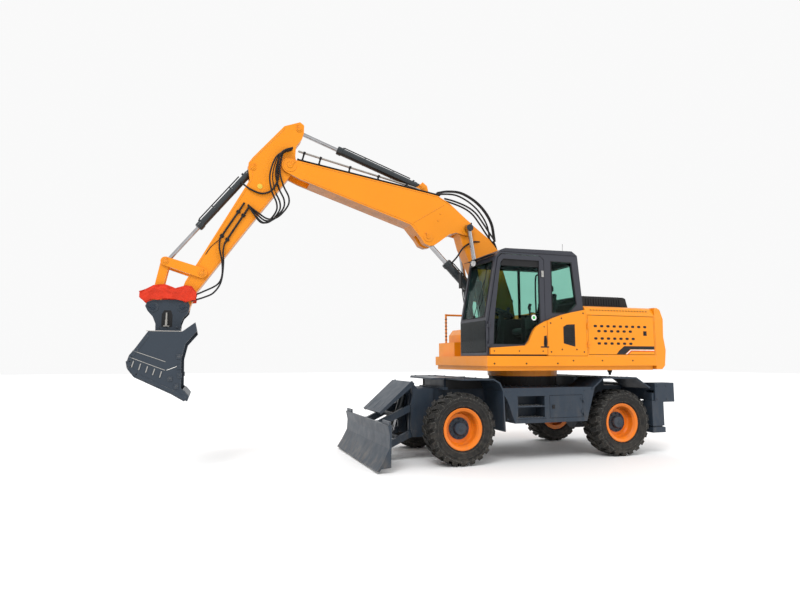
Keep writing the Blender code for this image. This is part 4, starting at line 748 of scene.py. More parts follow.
def seal_round(piece, outline, y, radius):
    """A rubber seal along a window's outline, with a dot at each corner."""
    for a, b in zip(outline, outline[1:] + outline[:1]):
        piece.bar(at(a[0], y, a[1]), at(b[0], y, b[1]), radius, 8)
        piece.ring(at(b[0], y, b[1]), Y, radius * 1.25, 0.001, radius * 1.6, 8)


def build_door_seals():
    """Rubber round the door's window, the dark band above it and the slot in the panel below."""
    seals = Piece("door_seals", "black", "cab_door")
    seal_round(seals, DOOR_WINDOW, 1.134, 0.009)
    seals.prism([(0.79, 3.015), (0.735, 3.112), (0.105, 3.112), (0.105, 3.015)], 1.131, 1.137)
    # a thin black strip: painted shade in place of the slot in the door panel
    seals.prism([(0.14, 1.745), (-0.008, 1.745), (-0.008, 1.765), (0.14, 1.765)], 1.2005, 1.2035)
    seals.done()


def build_door_fittings():
    """The handle, the catch and the grab rail."""
    handle = Piece("door_handle", "black", "cab_door", bevel=0.004)
    handle.prism([(0.030, 1.76), (0.075, 1.75), (0.085, 1.80), (0.075, 1.925), (0.030, 1.935),
                  (0.022, 1.84)], 1.1995, 1.206)
    handle.tube([at(0.045, 1.202, 1.775), at(0.045, 1.216, 1.80), at(0.045, 1.218, 1.85),
                 at(0.045, 1.216, 1.895), at(0.045, 1.202, 1.915)], 0.009)
    handle.ring(at(0.066, 1.206, 1.79), Y, 0.011, 0.004, 0.006, 14)
    handle.done()
    catch = Piece("door_catch", "steel", "cab_door", "steel", bevel=0.002)
    catch.block(0.030, 0.072, 1.1545, 1.170, 2.86, 2.96)
    catch.bar(at(0.05, 1.165, 2.91), at(0.05, 1.178, 2.91), 0.012, 16)
    catch.done()
    rails = Piece("door_grab_rail", "black", "cab_door")
    rails.tube([at(0.085, 1.11, 2.20), at(0.125, 1.085, 2.24), at(0.13, 1.075, 2.55),
                at(0.125, 1.085, 2.86), at(0.085, 1.11, 2.90)], 0.013)
    rails.done()


def build_window_seals():
    """Rubber round the windows that don't open."""
    frame_seals = Piece("window_seals", "black", "upper")
    seal_round(frame_seals, REAR_SIDE_WINDOW, 1.1512, 0.007)
    seal_round(frame_seals, RIGHT_WINDOW, 0.2388, 0.007)
    for y0, y1, z0, z1, plane in ((0.31, 1.08, 2.21, 3.10, front_plane),
                                  (0.34, 1.05, 2.50, 3.10, rear_plane)):
        corners = [at(plane(z, -0.001), y, z) for y, z in ((y0, z0), (y1, z0), (y1, z1), (y0, z1))]
        for a, b in zip(corners, corners[1:] + corners[:1]):
            frame_seals.bar(a, b, 0.008, 8)
    frame_seals.block(-0.096, -0.050, 0.236, 0.250, 2.26, 3.10)
    frame_seals.done()


def build_roof():
    """Gutters, visor, hatch and the front wiper."""
    gutter = Piece("roof_gutter", "cab", "upper", "cab_grey", bevel=0.003)
    gutter.prism([(0.80, 3.236), (-0.60, 3.236), (-0.60, 3.250), (0.795, 3.250)], 1.1495, 1.163)
    gutter.prism([(0.80, 3.236), (-0.60, 3.236), (-0.60, 3.250), (0.795, 3.250)], 0.227, 0.2405)
    gutter.done()
    visor = Piece("sun_visor", "black", "upper", bevel=0.004)
    visor.prism([(0.845, 3.205), (0.925, 3.190), (1.000, 3.165), (0.998, 3.157), (0.920, 3.180),
                 (0.845, 3.190)], 0.30, 1.09)
    visor.done()
    hatch = Piece("roof_hatch", "cab", "upper", "cab_grey", bevel=0.008)
    hatch.block(-0.20, 0.44, 0.42, 0.97, 3.288, 3.300)
    hatch.done()
    wiper = Piece("wiper", "black", "upper")
    wiper.bar(at(front_plane(2.28) + 0.006, 0.72, 2.25), at(front_plane(2.80) + 0.022, 0.93, 2.80),
              0.006, 8)
    wiper.bar(at(front_plane(2.45) + 0.012, 0.93, 2.45), at(front_plane(3.02) + 0.010, 0.93, 3.02),
              0.005, 8)
    wiper.bar(at(front_plane(2.23) - 0.012, 0.72, 2.225), at(front_plane(2.23) + 0.022, 0.72, 2.232),
              0.026, 18)
    wiper.done()


def build_mirror():
    """The right mirror on its arm, and the aerial on the roof."""
    mirror = Piece("mirror", "black", "upper", bevel=0.006)
    mirror.tube([at(0.90, 0.245, 2.72), at(0.965, 0.235, 2.72), at(1.00, 0.215, 2.74),
                 at(1.01, 0.19, 2.80)], 0.008)
    mirror.block(1.000, 1.030, 0.142, 0.238, 2.76, 3.02)
    mirror.done()
    pane = Piece("mirror_face", "chrome", "upper", "steel", bevel=0.002)
    pane.block(0.9975, 1.0005, 0.150, 0.230, 2.775, 3.005)
    pane.done()
    aerial = Piece("aerial", "black", "upper")
    aerial.bar(at(-0.46, 0.98, 3.29), at(-0.46, 0.98, 3.312), 0.017, 16)
    aerial.bar(at(-0.46, 0.98, 3.308), at(-0.47, 0.98, 3.46), 0.0028, 8)
    aerial.done()


def build_cab_panels():
    """The window's round stickers, the door's skin, the front panel and the lining."""
    for name, look, radius, y in (("window_disc", "white", 0.045, 1.1312),
                                  ("window_dot", "green", 0.026, 1.1322)):
        sticker = Piece(name, look, "cab_door", "cab_grey")
        sticker.bar(at(0.205, y, 2.215), at(0.205, y + 0.001, 2.215), radius, 28)
        sticker.done()
    skin = Piece("door_skin", "orange", "cab_door", "orange", bevel=0.002)
    skin.prism([(1.007, 1.638), (1.007, 1.737), (0.401, 1.777), (0.337, 1.852), (0.300, 1.935),
                (0.262, 2.002), (0.222, 2.055), (0.171, 2.092), (0.100, 2.130), (0.018, 2.167),
                (0.018, 1.638)], 1.1558, 1.2015)
    skin.done()
    front = Piece("cab_front_panel", "gloss", "upper", "cab_grey", bevel=0.006)
    front.prism([(1.0495, 1.665), (1.058, 1.680), (1.058, 2.145), (1.0495, 2.160)], 0.262, 1.128)
    front.done()
    lining = Piece("cab_lining", "black", "upper", bevel=0.004)
    lining.block(-0.63, 0.98, 0.2965, 0.302, 1.68, 2.235)
    lining.block(-0.643, -0.637, 0.30, 1.08, 1.68, 2.47)
    lining.block(-0.50, 0.64, 0.30, 1.09, 3.222, 3.230)
    lining.done()


def build_lamps():
    """Work lamps: round housings with a bright ring, a lens and a bracket."""
    spots = (("cab_lamp", "upper", at(0.985, 0.62, 3.115), Vector((0.80, 0.58, -0.10)).normalized()),
             ("boom_lamp", "base_boom", BASE.at(1.22, -0.235, 0.152), BASE_OUT))
    for name, body, spot, out in spots:
        housing = Piece(name, "black", body, bevel=0.003)
        housing.bar(spot - out * 0.055, spot - out * 0.010, 0.032, 24, 0.056)
        housing.ring(spot, out, 0.060, 0.050, 0.026, 28)
        side = out.cross(Z).normalized()
        housing.bar(spot - side * 0.064 - out * 0.02, spot + side * 0.064 - out * 0.02, 0.007, 8)
        housing.done()
        cup = Piece(f"{name}_cup", "pipe", body, "steel")
        cup.bar(spot - out * 0.010, spot + out * 0.001, 0.018, 24, 0.050)
        cup.bar(spot - out * 0.004, spot + out * 0.008, 0.009, 14)
        cup.done()
        lens = Piece(f"{name}_lens", "lens", body, "steel")
        lens.bar(spot + out * 0.004, spot + out * 0.010, 0.050, 28, 0.046)
        lens.done()


BASE_OUT = Vector((BASE.along.x * 0.35 - BASE.across.x * 0.94, 0,
                   BASE.along.y * 0.35 - BASE.across.y * 0.94)).normalized()


def puffed(name, outline, y0, y1, cap, fill):
    """A seat's cushion: its outline's solid is remeshed, smoothed, and blown up a little as cloth."""
    piece = Piece(name, "seat", "upper", "seat_black", smooth=180.0)
    piece.prism(outline, y0, y1)
    obj = piece.done(ride=False)
    for kind, settings in (("REMESH", {"mode": "VOXEL", "voxel_size": 0.014}),
                           ("SMOOTH", {"factor": 0.7, "iterations": 10})):
        step = obj.modifiers.new(kind.lower(), kind)
        for key, value in settings.items():
            setattr(step, key, value)
    bake(obj)
    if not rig.quick():
        still = [v.co.copy() for v in obj.data.vertices]
        cloth = obj.modifiers.new("cloth", "CLOTH")
        cloth.settings.use_pressure = True
        cloth.settings.uniform_pressure_force = 4.0
        cloth.settings.effector_weights.gravity = 0.0
        cloth.settings.quality = 5
        for moment in range(1, 16):
            bpy.context.scene.frame_set(moment)
        bake(obj)
        bpy.context.scene.frame_set(1)
        for vertex, start in zip(obj.data.vertices, still):
            move = vertex.co - start
            if move.length > cap:
                vertex.co = start + move.normalized() * cap
    obj.data.shade_smooth()
    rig.ride(obj, "upper")
    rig.slot(obj, "seat_black")
    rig.padded(obj, fill)
    return obj


def bake(obj):
    """Turns what the modifiers make of a mesh into the mesh itself."""
    bpy.context.view_layer.update()
    shape = bpy.data.meshes.new_from_object(obj.evaluated_get(bpy.context.evaluated_depsgraph_get()))
    obj.modifiers.clear()
    obj.data = shape
    if not obj.data.materials:
        obj.data.materials.append(MAT["seat"])


def build_seat():
    """The seat on its bellows, the display and the control sticks."""
    low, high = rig.box("operator_seat")
    floor = low.z
    y = (low.y + high.y) / 2

    def raised(*outline):
        return [(x, floor + z) for x, z in outline]

    cushion = raised((-0.25, 0.30), (0.19, 0.30), (0.235, 0.335), (0.225, 0.385), (0.16, 0.395),
                     (-0.22, 0.375), (-0.265, 0.35))
    back = raised((-0.235, 0.40), (-0.215, 0.46), (-0.25, 0.70), (-0.315, 0.96), (-0.36, 0.985),
                  (-0.40, 0.96), (-0.39, 0.75), (-0.335, 0.42))
    head = raised((-0.315, 1.005), (-0.325, 1.115), (-0.36, 1.125), (-0.405, 1.105), (-0.40, 1.005))
    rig.replaces(puffed("seat_cushion", cushion, y - 0.235, y + 0.235, 0.010, 0.7), "operator_seat")
    puffed("seat_back", back, y - 0.215, y + 0.215, 0.010, 0.7)
    puffed("head_rest", head, y - 0.115, y + 0.115, 0.006, 0.8)
    under = Piece("seat_base", "black", "upper", bevel=0.006)
    under.prism(raised((-0.20, 0.0), (0.16, 0.0), (0.14, 0.06), (0.12, 0.12), (-0.16, 0.12),
                       (-0.18, 0.06)), y - 0.15, y + 0.15)
    for step in range(5):
        z = floor + 0.12 + step * 0.028
        inset = 0.012 if step % 2 else 0.0
        under.block(-0.16 + inset, 0.12 - inset, y - 0.13 + inset, y + 0.13 - inset, z, z + 0.029)
    under.block(-0.24, 0.20, y - 0.20, y + 0.20, floor + 0.26, floor + 0.295)
    for side in (1, -1):
        under.prism(raised((-0.34, 0.60), (0.02, 0.585), (0.05, 0.61), (0.03, 0.635), (-0.33, 0.65)),
                    y + side * 0.238, y + side * 0.262)
        under.bar(at(-0.36, y + side * 0.06, floor + 0.94), at(-0.36, y + side * 0.06, floor + 1.02),
                  0.007, 10)
    under.done()
    dash = Piece("display", "black", "upper", bevel=0.006)
    dash.prism(raised((0.60, 0.70), (0.57, 0.88), (0.595, 0.885), (0.63, 0.70)), 0.36, 0.56)
    dash.bar(at(0.62, 0.44, floor + 0.42), at(0.61, 0.44, floor + 0.72), 0.014, 12)
    dash.done()
    face = Piece("display_face", "screen", "upper")
    face.prism(raised((0.5985, 0.715), (0.5715, 0.865), (0.5685, 0.865), (0.5955, 0.715)), 0.375, 0.545)
    face.done()
    sticks = Piece("control_sticks", "black", "upper")
    for y_stick in (y - 0.335, y + 0.335):
        sticks.tube([at(0.20, y_stick, floor + 0.54), at(0.215, y_stick, floor + 0.60),
                     at(0.21, y_stick, floor + 0.68)], 0.013)
        sticks.tube([at(0.21, y_stick, floor + 0.67), at(0.222, y_stick, floor + 0.71),
                     at(0.20, y_stick, floor + 0.76)], 0.024)
        sticks.ring(at(0.20, y_stick, floor + 0.555), Z, 0.045, 0.012, 0.03, 20)
    sticks.done()


# ------------------------------------------------------------- panels of the upper structure
def hole(piece, x, z, y):
    """A slot in a panel, as a dark lozenge with rounded ends: painted shade standing in for the opening."""
    half, wide = 0.020, 0.033
    points = [(x + math.copysign(wide - half, math.cos(a)) + half * math.cos(a), z + half * math.sin(a))
              for a in (2 * math.pi * (i + 0.5) / 12 for i in range(12))]
    piece.prism(points, y, y + math.copysign(0.0018, y))


def build_side_details():
    """Perforations, latches, bands and slots of the engine bay, on both sides."""
    for side, body in ((1, "left_engine_door"), (-1, "right_engine_door")):
        face = side * PANEL_Y
        # the black lozenges are painted shade in place of the perforations' openings
        dark = Piece(f"{body}_holes", "black", body)
        for count, x0, x1, z in ((9, -0.887, -1.875, 2.10), (6, -0.954, -1.576, 2.02),
                                 (7, -0.889, -1.628, 1.90), (6, -0.952, -1.576, 1.82)):
            for i in range(count):
                hole(dark, x0 + (x1 - x0) * i / (count - 1), z, face)
        dark.done()
        latch = Piece(f"{body}_latch", "black", body, bevel=0.003)
        latch.block(-1.905, -1.838, face, side * 1.206, 1.955, 2.030)
        latch.bar(at(-1.872, side * 1.204, 1.992), at(-1.872, side * 1.212, 1.992), 0.018, 20)
        latch.done()
        band = Piece(f"{body}_band", "black", body)
        band.prism([(-1.285, 1.648), (-1.330, 1.700), (-1.440, 1.780), (-2.052, 1.780), (-2.052, 1.728),
                    (-1.560, 1.728), (-1.455, 1.648)], face, side * 1.2014)
        band.done()
        thin = Piece(f"{body}_line", "white", body, "orange")
        thin.prism([(-1.470, 1.648), (-1.570, 1.722), (-2.052, 1.722), (-2.052, 1.710), (-1.576, 1.710),
                    (-1.492, 1.648)], face, side * 1.2012)
        thin.done()
        under = Piece(f"{body}_red_line", "red_film", body, "orange")
        under.prism([(-1.497, 1.648), (-1.578, 1.706), (-2.052, 1.706), (-2.052, 1.694),
                     (-1.586, 1.694), (-1.522, 1.648)], face, side * 1.2012)
        under.done()
        # thin black plates: painted shade in place of the cowl's slots
        slots = Piece(f"cowl_slots_{'left' if side > 0 else 'right'}", "black", "upper")
        tilt = Vector((0, side * 0.11, -0.05)).normalized()
        out = Vector((0, side * 0.91, 0.41)).normalized()
        for i in range(20):
            x = -0.83 - 1.11 * i / 19
            base = at(x, side * 1.1665, 2.3665)
            corners = [base + tilt * d + X * e for d,
                       e in ((-0.018, -0.013), (-0.018, 0.013), (0.018, 0.013), (0.018, -0.013))]
            slots.loft([[c - out * 0.002 for c in corners], [c + out * 0.0022 for c in corners]])
        slots.done()


def build_panel_details():
    """The side vent, bolts along the panels and the knob under the deck."""
    vent = Piece("side_vent", "black", "upper", bevel=0.002)
    vent.prism([(-0.280, 1.815), (-0.280, 2.075), (-0.345, 2.112), (-0.494, 2.120), (-0.494, 1.765),
                (-0.400, 1.785)], PANEL_Y, 1.2035)
    for i in range(9):
        z = 1.830 + i * 0.029
        vent.prism([(-0.480, z), (-0.294, z), (-0.294, z + 0.006), (-0.480, z + 0.006)], 1.203, 1.212)
    vent.done()
    bolts = Piece("panel_bolts", "black", "upper")
    for x, z in ((-0.05, 1.68), (-0.66, 1.68), (-0.66, 2.30), (-0.05, 2.13), (-0.25, 2.21),
                 (-0.52, 1.72), (-0.25, 1.72)):
        bolts.bolt(at(x, 1.2005, z), Y, 0.009, 0.005)
    for x in (-0.16, 0.40, 0.95):
        bolts.bolt(at(x, 1.2005, 1.50), Y, 0.010, 0.006)
    for x in (-0.45, -1.0, -1.6):
        bolts.bolt(at(x, 1.2005, 1.545), Y, 0.009, 0.005)
        bolts.bolt(at(x, -1.2005, 1.545), -Y, 0.009, 0.005)
    bolts.done()
    skin_bolts = Piece("door_bolts", "black", "cab_door")
    for x, z in ((0.95, 1.69), (0.52, 1.69), (0.10, 1.69), (0.07, 2.07)):
        skin_bolts.bolt(at(x, 1.2005, z), Y, 0.008, 0.004)
    skin_bolts.done()
    knob = Piece("deck_knob", "black", "upper", bevel=0.004)
    knob.bar(at(-1.38, 0.9, 1.395), at(-1.38, 0.9, 1.345), 0.040, 18, 0.034)
    knob.bar(at(-1.38, 0.9, 1.35), at(-1.38, 0.9, 1.305), 0.022, 14)
    knob.done()


def build_tail():
    """Lamps, lifting eyes and the camera on the counterweight."""
    lamps = Piece("tail_lamps", "red_lens", "upper", "cloth_red", bevel=0.004)
    frames = Piece("tail_lamp_frames", "black", "upper", bevel=0.004)
    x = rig.box("counterweight")[0].x + SHIFT + 0.105
    for side in (1, -1):
        y = side * 0.90
        frames.block(x - 0.02, x + 0.12, y - 0.065, y + 0.065, 2.03, 2.27)
        lamps.block(x - 0.030, x - 0.015, y - 0.052, y + 0.052, 2.165, 2.255)
        lamps.block(x - 0.030, x - 0.015, y - 0.052, y + 0.052, 2.045, 2.075)
    lamps.done()
    frames.done()
    amber = Piece("tail_lamp_turn", "amber_lens", "upper", "orange", bevel=0.003)
    for side in (1, -1):
        amber.block(x - 0.030, x - 0.015, side * 0.90 - 0.052, side * 0.90 + 0.052, 2.085, 2.155)
    amber.done()
    lugs = Piece("lifting_eyes", "orange", "upper", "orange", bevel=0.004)
    for side in (1, -1):
        lugs.ring(at(-2.23, side * 0.55, 2.43), Y, 0.048, 0.024, 0.024, 24)
    lugs.done()
    camera = Piece("rear_camera", "black", "upper", bevel=0.004)
    camera.block(-2.335, -2.28, -0.045, 0.045, 2.425, 2.485)
    camera.bar(at(-2.335, 0, 2.455), at(-2.345, 0, 2.455), 0.020, 18)
    camera.done()


def build_hood_details():
    """Louvres of the engine cover, the exhaust and the radiator cap."""
    # black prisms: painted shade in place of the louvres' gaps and the side slots
    dark = Piece("hood_louvres", "black", "engine_hood", bevel=0.002)
    top = 2.6205
    for i in range(16):
        x = -1.68 + i * 0.050
        dark.prism([(x, top - 0.002), (x + 0.022, top + 0.012), (x + 0.030, top + 0.010),
                    (x + 0.012, top - 0.002)], -0.24, 0.84)
    for y in (0.9003, -0.3003):
        out = math.copysign(0.010, y - 0.3)
        for i in range(14):
            x = -1.64 + i * 0.052
            dark.prism([(x, 2.475), (x + 0.014, 2.475), (x + 0.020, 2.585), (x + 0.006, 2.585)], y, y + out)
    dark.done()
    pipe = Piece("exhaust", "steel", "upper", "steel", smooth=40.0)
    pipe.tube([at(-1.35, -0.62, 2.42), at(-1.35, -0.62, 2.50), at(-1.36, -0.62, 2.56),
               at(-1.42, -0.62, 2.60), at(-1.47, -0.62, 2.605)], 0.042, 20, 6)
    pipe.ring(at(-1.35, -0.62, 2.432), Z, 0.072, 0.035, 0.012, 28)
    pipe.done()
    cap = Piece("radiator_cap", "black", "upper", bevel=0.002)
    cap.bar(at(-0.86, -0.60, 2.43), at(-0.86, -0.60, 2.455), 0.045, 20, 0.040)
    cap.block(-0.90, -0.82, -0.610, -0.590, 2.45, 2.465)
    cap.done()


def build_right_side():
    """The handrail's grips, the tank's tread dimples, cap and locks."""
    dots = Piece("handrail_grips", "black", "upper")
    for i in range(7):
        z = 1.93 + i * 0.065
        dots.ring(at(0.76, -1.02, z), Z, 0.0215, 0.017, 0.016, 16)
        dots.ring(at(0.40, -1.02, min(2.38, z + 0.16)), Z, 0.0215, 0.017, 0.016, 16)
    dots.done()
    tread = Piece("tank_steps", "steel", "upper", "steel", bevel=0.001)
    for x0, x1, z in ((0.625, 0.825, 1.8705), (-0.60, 0.50, 2.1205)):
        count = max(3, int((x1 - x0) / 0.05))
        for i in range(count):
            for k in range(9):
                x = x0 + (x1 - x0) * (i + 0.5) / count
                y = -1.13 + 0.64 * (k + 0.5) / 9
                tread.ring(at(x, y, z), Z, 0.012, 0.006, 0.005, 8)
    tread.done()
    filler = Piece("fuel_cap", "black", "upper", bevel=0.003)
    filler.bar(at(0.30, -0.54, 2.12), at(0.30, -0.54, 2.152), 0.050, 24, 0.045)
    filler.block(0.260, 0.340, -0.550, -0.530, 2.150, 2.166)
    filler.done()
    locks = Piece("tank_locks", "black", "upper", bevel=0.003)
    for x in (-0.45, 0.10):
        locks.block(x - 0.035, x + 0.035, -1.206, -1.1995, 1.84, 1.90)
        locks.bar(at(x, -1.204, 1.87), at(x, -1.211, 1.87), 0.016, 18)
    locks.done()


# ------------------------------------------------------------- chassis
def build_chassis_details():
    """The steps' plates, treads and side rails."""
    steps = Piece("step_treads", "steel", "chassis", "steel", bevel=0.001)
    plates = Piece("step_plates", "slate", "chassis", "slate", bevel=0.004)
    for side in (1, -1):
        for z in (0.652, 0.83):
            plates.block(0.04, 0.52, side * 0.85, side * 1.118, z, z + 0.022)
            for i in range(8):
                for k in range(4):
                    steps.ring(at(0.075 + i * 0.058, side * (0.885 + k * 0.062), z + 0.0225), Z, 0.015,
                               0.008, 0.006, 10)
        for x in (0.036, 0.524):
            plates.tube([at(x, side * 1.112, 0.66), at(x, side * 1.112, 0.83),
                         at(x, side * 1.112, 0.99)], 0.010, 10, 3)
    steps.done()
    plates.done()


def build_toolbox_details():
    """The toolbox's latch and its pressed panel."""
    latch = Piece("toolbox_latch", "black", "toolbox_door", bevel=0.003)
    latch.block(-0.135, -0.085, 1.1232, 1.131, 0.80, 0.86)
    latch.bar(at(-0.11, 1.129, 0.83), at(-0.11, 1.136, 0.83), 0.015, 18)
    latch.done()
    panel = Piece("toolbox_press", "slate", "toolbox_door", "slate", bevel=0.003)
    panel.ring(at(-0.37, 1.1235, 0.83), Y, 0.09, 0.08, 0.004, 4)
    panel.done()


def build_chassis_bolts():
    """Bolts on the boxes, the end plates and round the slew ring."""
    bolts = Piece("chassis_bolts", "slate", "chassis", "slate", smooth=30.0)
    for side in (1, -1):
        for x in (1.37, 1.10, 0.98, -1.30, -1.60, -1.02):
            bolts.bolt(at(x, side * 1.05, 1.2725), Z, 0.012, 0.008)
            bolts.bolt(at(x, side * 0.62, 1.2725), Z, 0.012, 0.008)
        for x in (-0.70, 0.70):
            for z in (0.66, 1.07):
                bolts.bolt(at(x, side * 1.1205, z), Y * side, 0.010, 0.006)
        for x in (-2.36, -2.16):
            for z in (0.90, 1.12):
                bolts.bolt(at(x, side * 1.1005, z), Y * side, 0.012, 0.008)
    low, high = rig.box("slew_ring")
    middle = (low + high) / 2
    radius = (high.x - low.x) / 2
    for i in range(36):
        turn = 2 * math.pi * i / 36
        spot = Vector((middle.x + (radius + 0.028) * math.cos(turn), (radius + 0.028) * math.sin(turn),
                       low.z - 0.001))
        bolts.bolt(spot, Z, 0.012, 0.014)
    bolts.done()


def build_mudguard_details():
    """Raised treads on the mudguards, their dark liners and the axles' hoses."""
    grips = Piece("mudguard_treads", "slate", "chassis", "slate", smooth=30.0)
    for side in (1, -1):
        for x0, x1 in ((0.96, 1.40), (-1.68, -1.08)):
            count = int((x1 - x0) / 0.04)
            for i in range(count):
                for k in range(11):
                    x = x0 + (i + 0.5) * (x1 - x0) / count
                    y = side * (0.56 + k * 0.048)
                    turn = 0.8 if (i + k) % 2 else -0.8
                    along = Vector((math.cos(turn), math.sin(turn), 0)) * 0.012
                    spot = at(x, y, 1.2725)
                    grips.bar(spot - along, spot + along, 0.0028, 5)
    grips.done()
    liners = Piece("mudguard_liners", "black", "chassis", bevel=0.002)
    for side in (1, -1):
        liners.block(0.62, 1.44, side * 0.500, side * 0.508, 1.095, 1.262)
    liners.done()
    brake = Piece("axle_hoses", "hose", "chassis")
    for side in (1, -1):
        brake.tube([at(1.30, side * 0.20, 0.98), at(1.32, side * 0.32, 0.93),
                    at(1.36, side * 0.44, 0.80), at(1.42, side * 0.52, 0.66),
                    at(1.43, side * 0.54, 0.60)], 0.009)
        brake.tube([at(-1.30, side * 0.20, 0.98), at(-1.32, side * 0.32, 0.93),
                    at(-1.36, side * 0.42, 0.80), at(-1.42, side * 0.48, 0.66),
                    at(-1.43, side * 0.50, 0.60)], 0.009)
    brake.done()


def build_blade_details():
    """The blade's cutting edge and the pins of its arms."""
    edge = Piece("cutting_edge", "tool", "blade", "slate", bevel=0.003)
    edge.prism([(2.788, 0.032), (2.790, 0.042), (2.700, 0.158), (2.691, 0.152), (2.770, 0.032)], -1.225,
               1.225)
    for i in range(9):
        y = -1.10 + 2.20 * i / 8
        edge.bolt(at(2.728, y, 0.112), Vector((0.77, 0, 0.62)), 0.016, 0.010)
    edge.done()
    pins = Piece("blade_pins", "steel", "blade", "steel")
    caps = Piece("blade_pin_caps", "slate", "chassis", "slate")
    for side in (1, -1):
        for z in (0.43, 0.83):
            for y in (side * 0.236, side * 0.399):
                out = Y * math.copysign(1, y - side * 0.32)
                caps.ring(at(1.93, y, z) + out * 0.006, Y, 0.038, 0.012, 0.012, 20)
                caps.bolt(at(1.93, y, z) + out * 0.008, out, 0.014, 0.008)
                spot = at(2.50, y, z - 0.26) + out * 0.006
                pins.ring(spot, Y, 0.038, 0.012, 0.012, 20)
                pins.bolt(spot, out, 0.014, 0.010)
    pins.done()
    caps.done()


def build_guard_details():
    """Pressed ribs on the blade's guard plate, and its cylinder's gland."""
    ribs = Piece("guard_ribs", "slate", "blade_guard", "slate", bevel=0.002)
    run = Vector((0.515, 0, -0.46)).normalized()
    rise = Vector((0.46, 0, 0.515)).normalized()
    start = at(1.985, 0, 1.185)
    for k in range(3):
        y = -0.26 + 0.26 * k
        a = start + run * 0.46 + rise * 0.045 + Y * y
        b = start + run * 0.64 + rise * 0.045 + Y * y
        ribs.loft([[p + Y * 0.008 - rise * 0.002, p + Y * 0.005 + rise * 0.003,
                    p - Y * 0.005 + rise * 0.003, p - Y * 0.008 - rise * 0.002] for p in (a, b)])
    ribs.done()
    gland = Piece("blade_gland", "barrel", "blade_cylinder", "cylinder_black")
    top = Vector((1.965, 0, 1.06))
    low = Vector((2.18, 0, 0.345))
    along = (low - top).normalized()
    end = at(top.x, 0, top.z) + along * ((low - top).length - 0.27)
    gland.ring(end - along * 0.03, along, 0.062, 0.050, 0.05, 24)
    gland.done()


# ------------------------------------------------------------- booms
def pin(piece, spot, face, radius, plate_turn=0.0):
    """A pin's head on each side of the boom: a collar, the pin's end and its bolted keeper plate."""
    x, z = spot
    for side in (1, -1):
        out = Y * side
        centre = at(x, BOOM_Y + side * face, z)
        piece.ring(centre + out * 0.004, Y, radius * 1.32, radius * 0.92, 0.010, 28)
        piece.bar(centre - out * 0.002, centre + out * 0.014, radius * 0.90, 24, radius * 0.84)
        piece.bar(centre + out * 0.013, centre + out * 0.021, radius * 0.20, 8)
        across = spoke(1.0, plate_turn)
        up = Vector((-math.sin(plate_turn), 0, math.cos(plate_turn)))
        a = centre + across * radius * 0.55
        b = centre + across * radius * 1.9
        half = up * radius * 0.26
        corners = (a - half, b - half, b + half, a + half)
        piece.loft([[corner + out * d for corner in corners] for d in (0.010, 0.018)])
        piece.bolt(b - across * radius * 0.32 + out * 0.017, out, radius * 0.17, 0.008)


def build_pins():
    """The pins of booms, arm, cylinders, rocker and bucket."""
    groups = {
        "upper": [((-0.05, 1.90), 0.1668, 0.052, 2.2)],
        "lift_cylinders": [(LIFT_BASE, 0.2852, 0.036, 0.5)],
        "base_boom": [(ADJUST_BASE, 0.1122, 0.040, 2.6)],
        "upper_boom": [(tuple(UPPER.end), 0.1752, 0.055, 2.4), (ADJUST_TOP, 0.1752, 0.042, 0.9),
                       (ARM_CYLINDER_BASE, 0.1002, 0.038, 0.3)],
        "arm": [(ARM_CYLINDER_TOP, 0.1302, 0.038, 1.2), (BUCKET_CYLINDER_BASE, 0.1302, 0.036, 2.0)],
        "rocker": [(ROCKER_PIN, 0.1662, 0.036, 1.9), (ROCKER_TOP, 0.1662, 0.034, 1.9)],
        "bucket": [(LINK_PIN, 0.2002, 0.036, 0.2), (tuple(ARM.end), 0.2002, 0.036, 3.0)],
    }
    for body, rows in groups.items():
        look = "orange" if body in ("upper_boom", "arm", "rocker") else "slate"
        piece = Piece(f"{body}_pins", look, body, look, smooth=35.0)
        for spot, face, radius, turn in rows:
            pin(piece, spot, face, radius, turn)
        piece.done()
    shaft = Piece("knuckle_pin", "slate", "base_boom", "slate", smooth=35.0)
    x, z = BASE.end
    for side in (1, -1):
        shaft.bar(at(x, BOOM_Y + side * 0.176, z), at(x, BOOM_Y + side * 0.292, z), 0.040, 24)
    pin(shaft, BASE.end, 0.2858, 0.046, 1.8)
    shaft.done()
    bosses = Piece("boom_bosses", "orange", "upper_boom", "orange", bevel=0.002)
    for side in (1, -1):
        for spot, radius in ((tuple(UPPER.end), 0.105), (tuple(UPPER.start), 0.115), (ADJUST_TOP, 0.085)):
            bosses.ring(at(spot[0], BOOM_Y + side * 0.1785, spot[1]), Y, radius, radius * 0.62, 0.008, 32)
    bosses.done()


def weld(piece, link, points, face):
    """A bead along a line of points, on both sides of a link."""
    for side in (1, -1):
        piece.tube([link.at(u, v, side * face) for u, v in points], 0.0042, 6, 5)


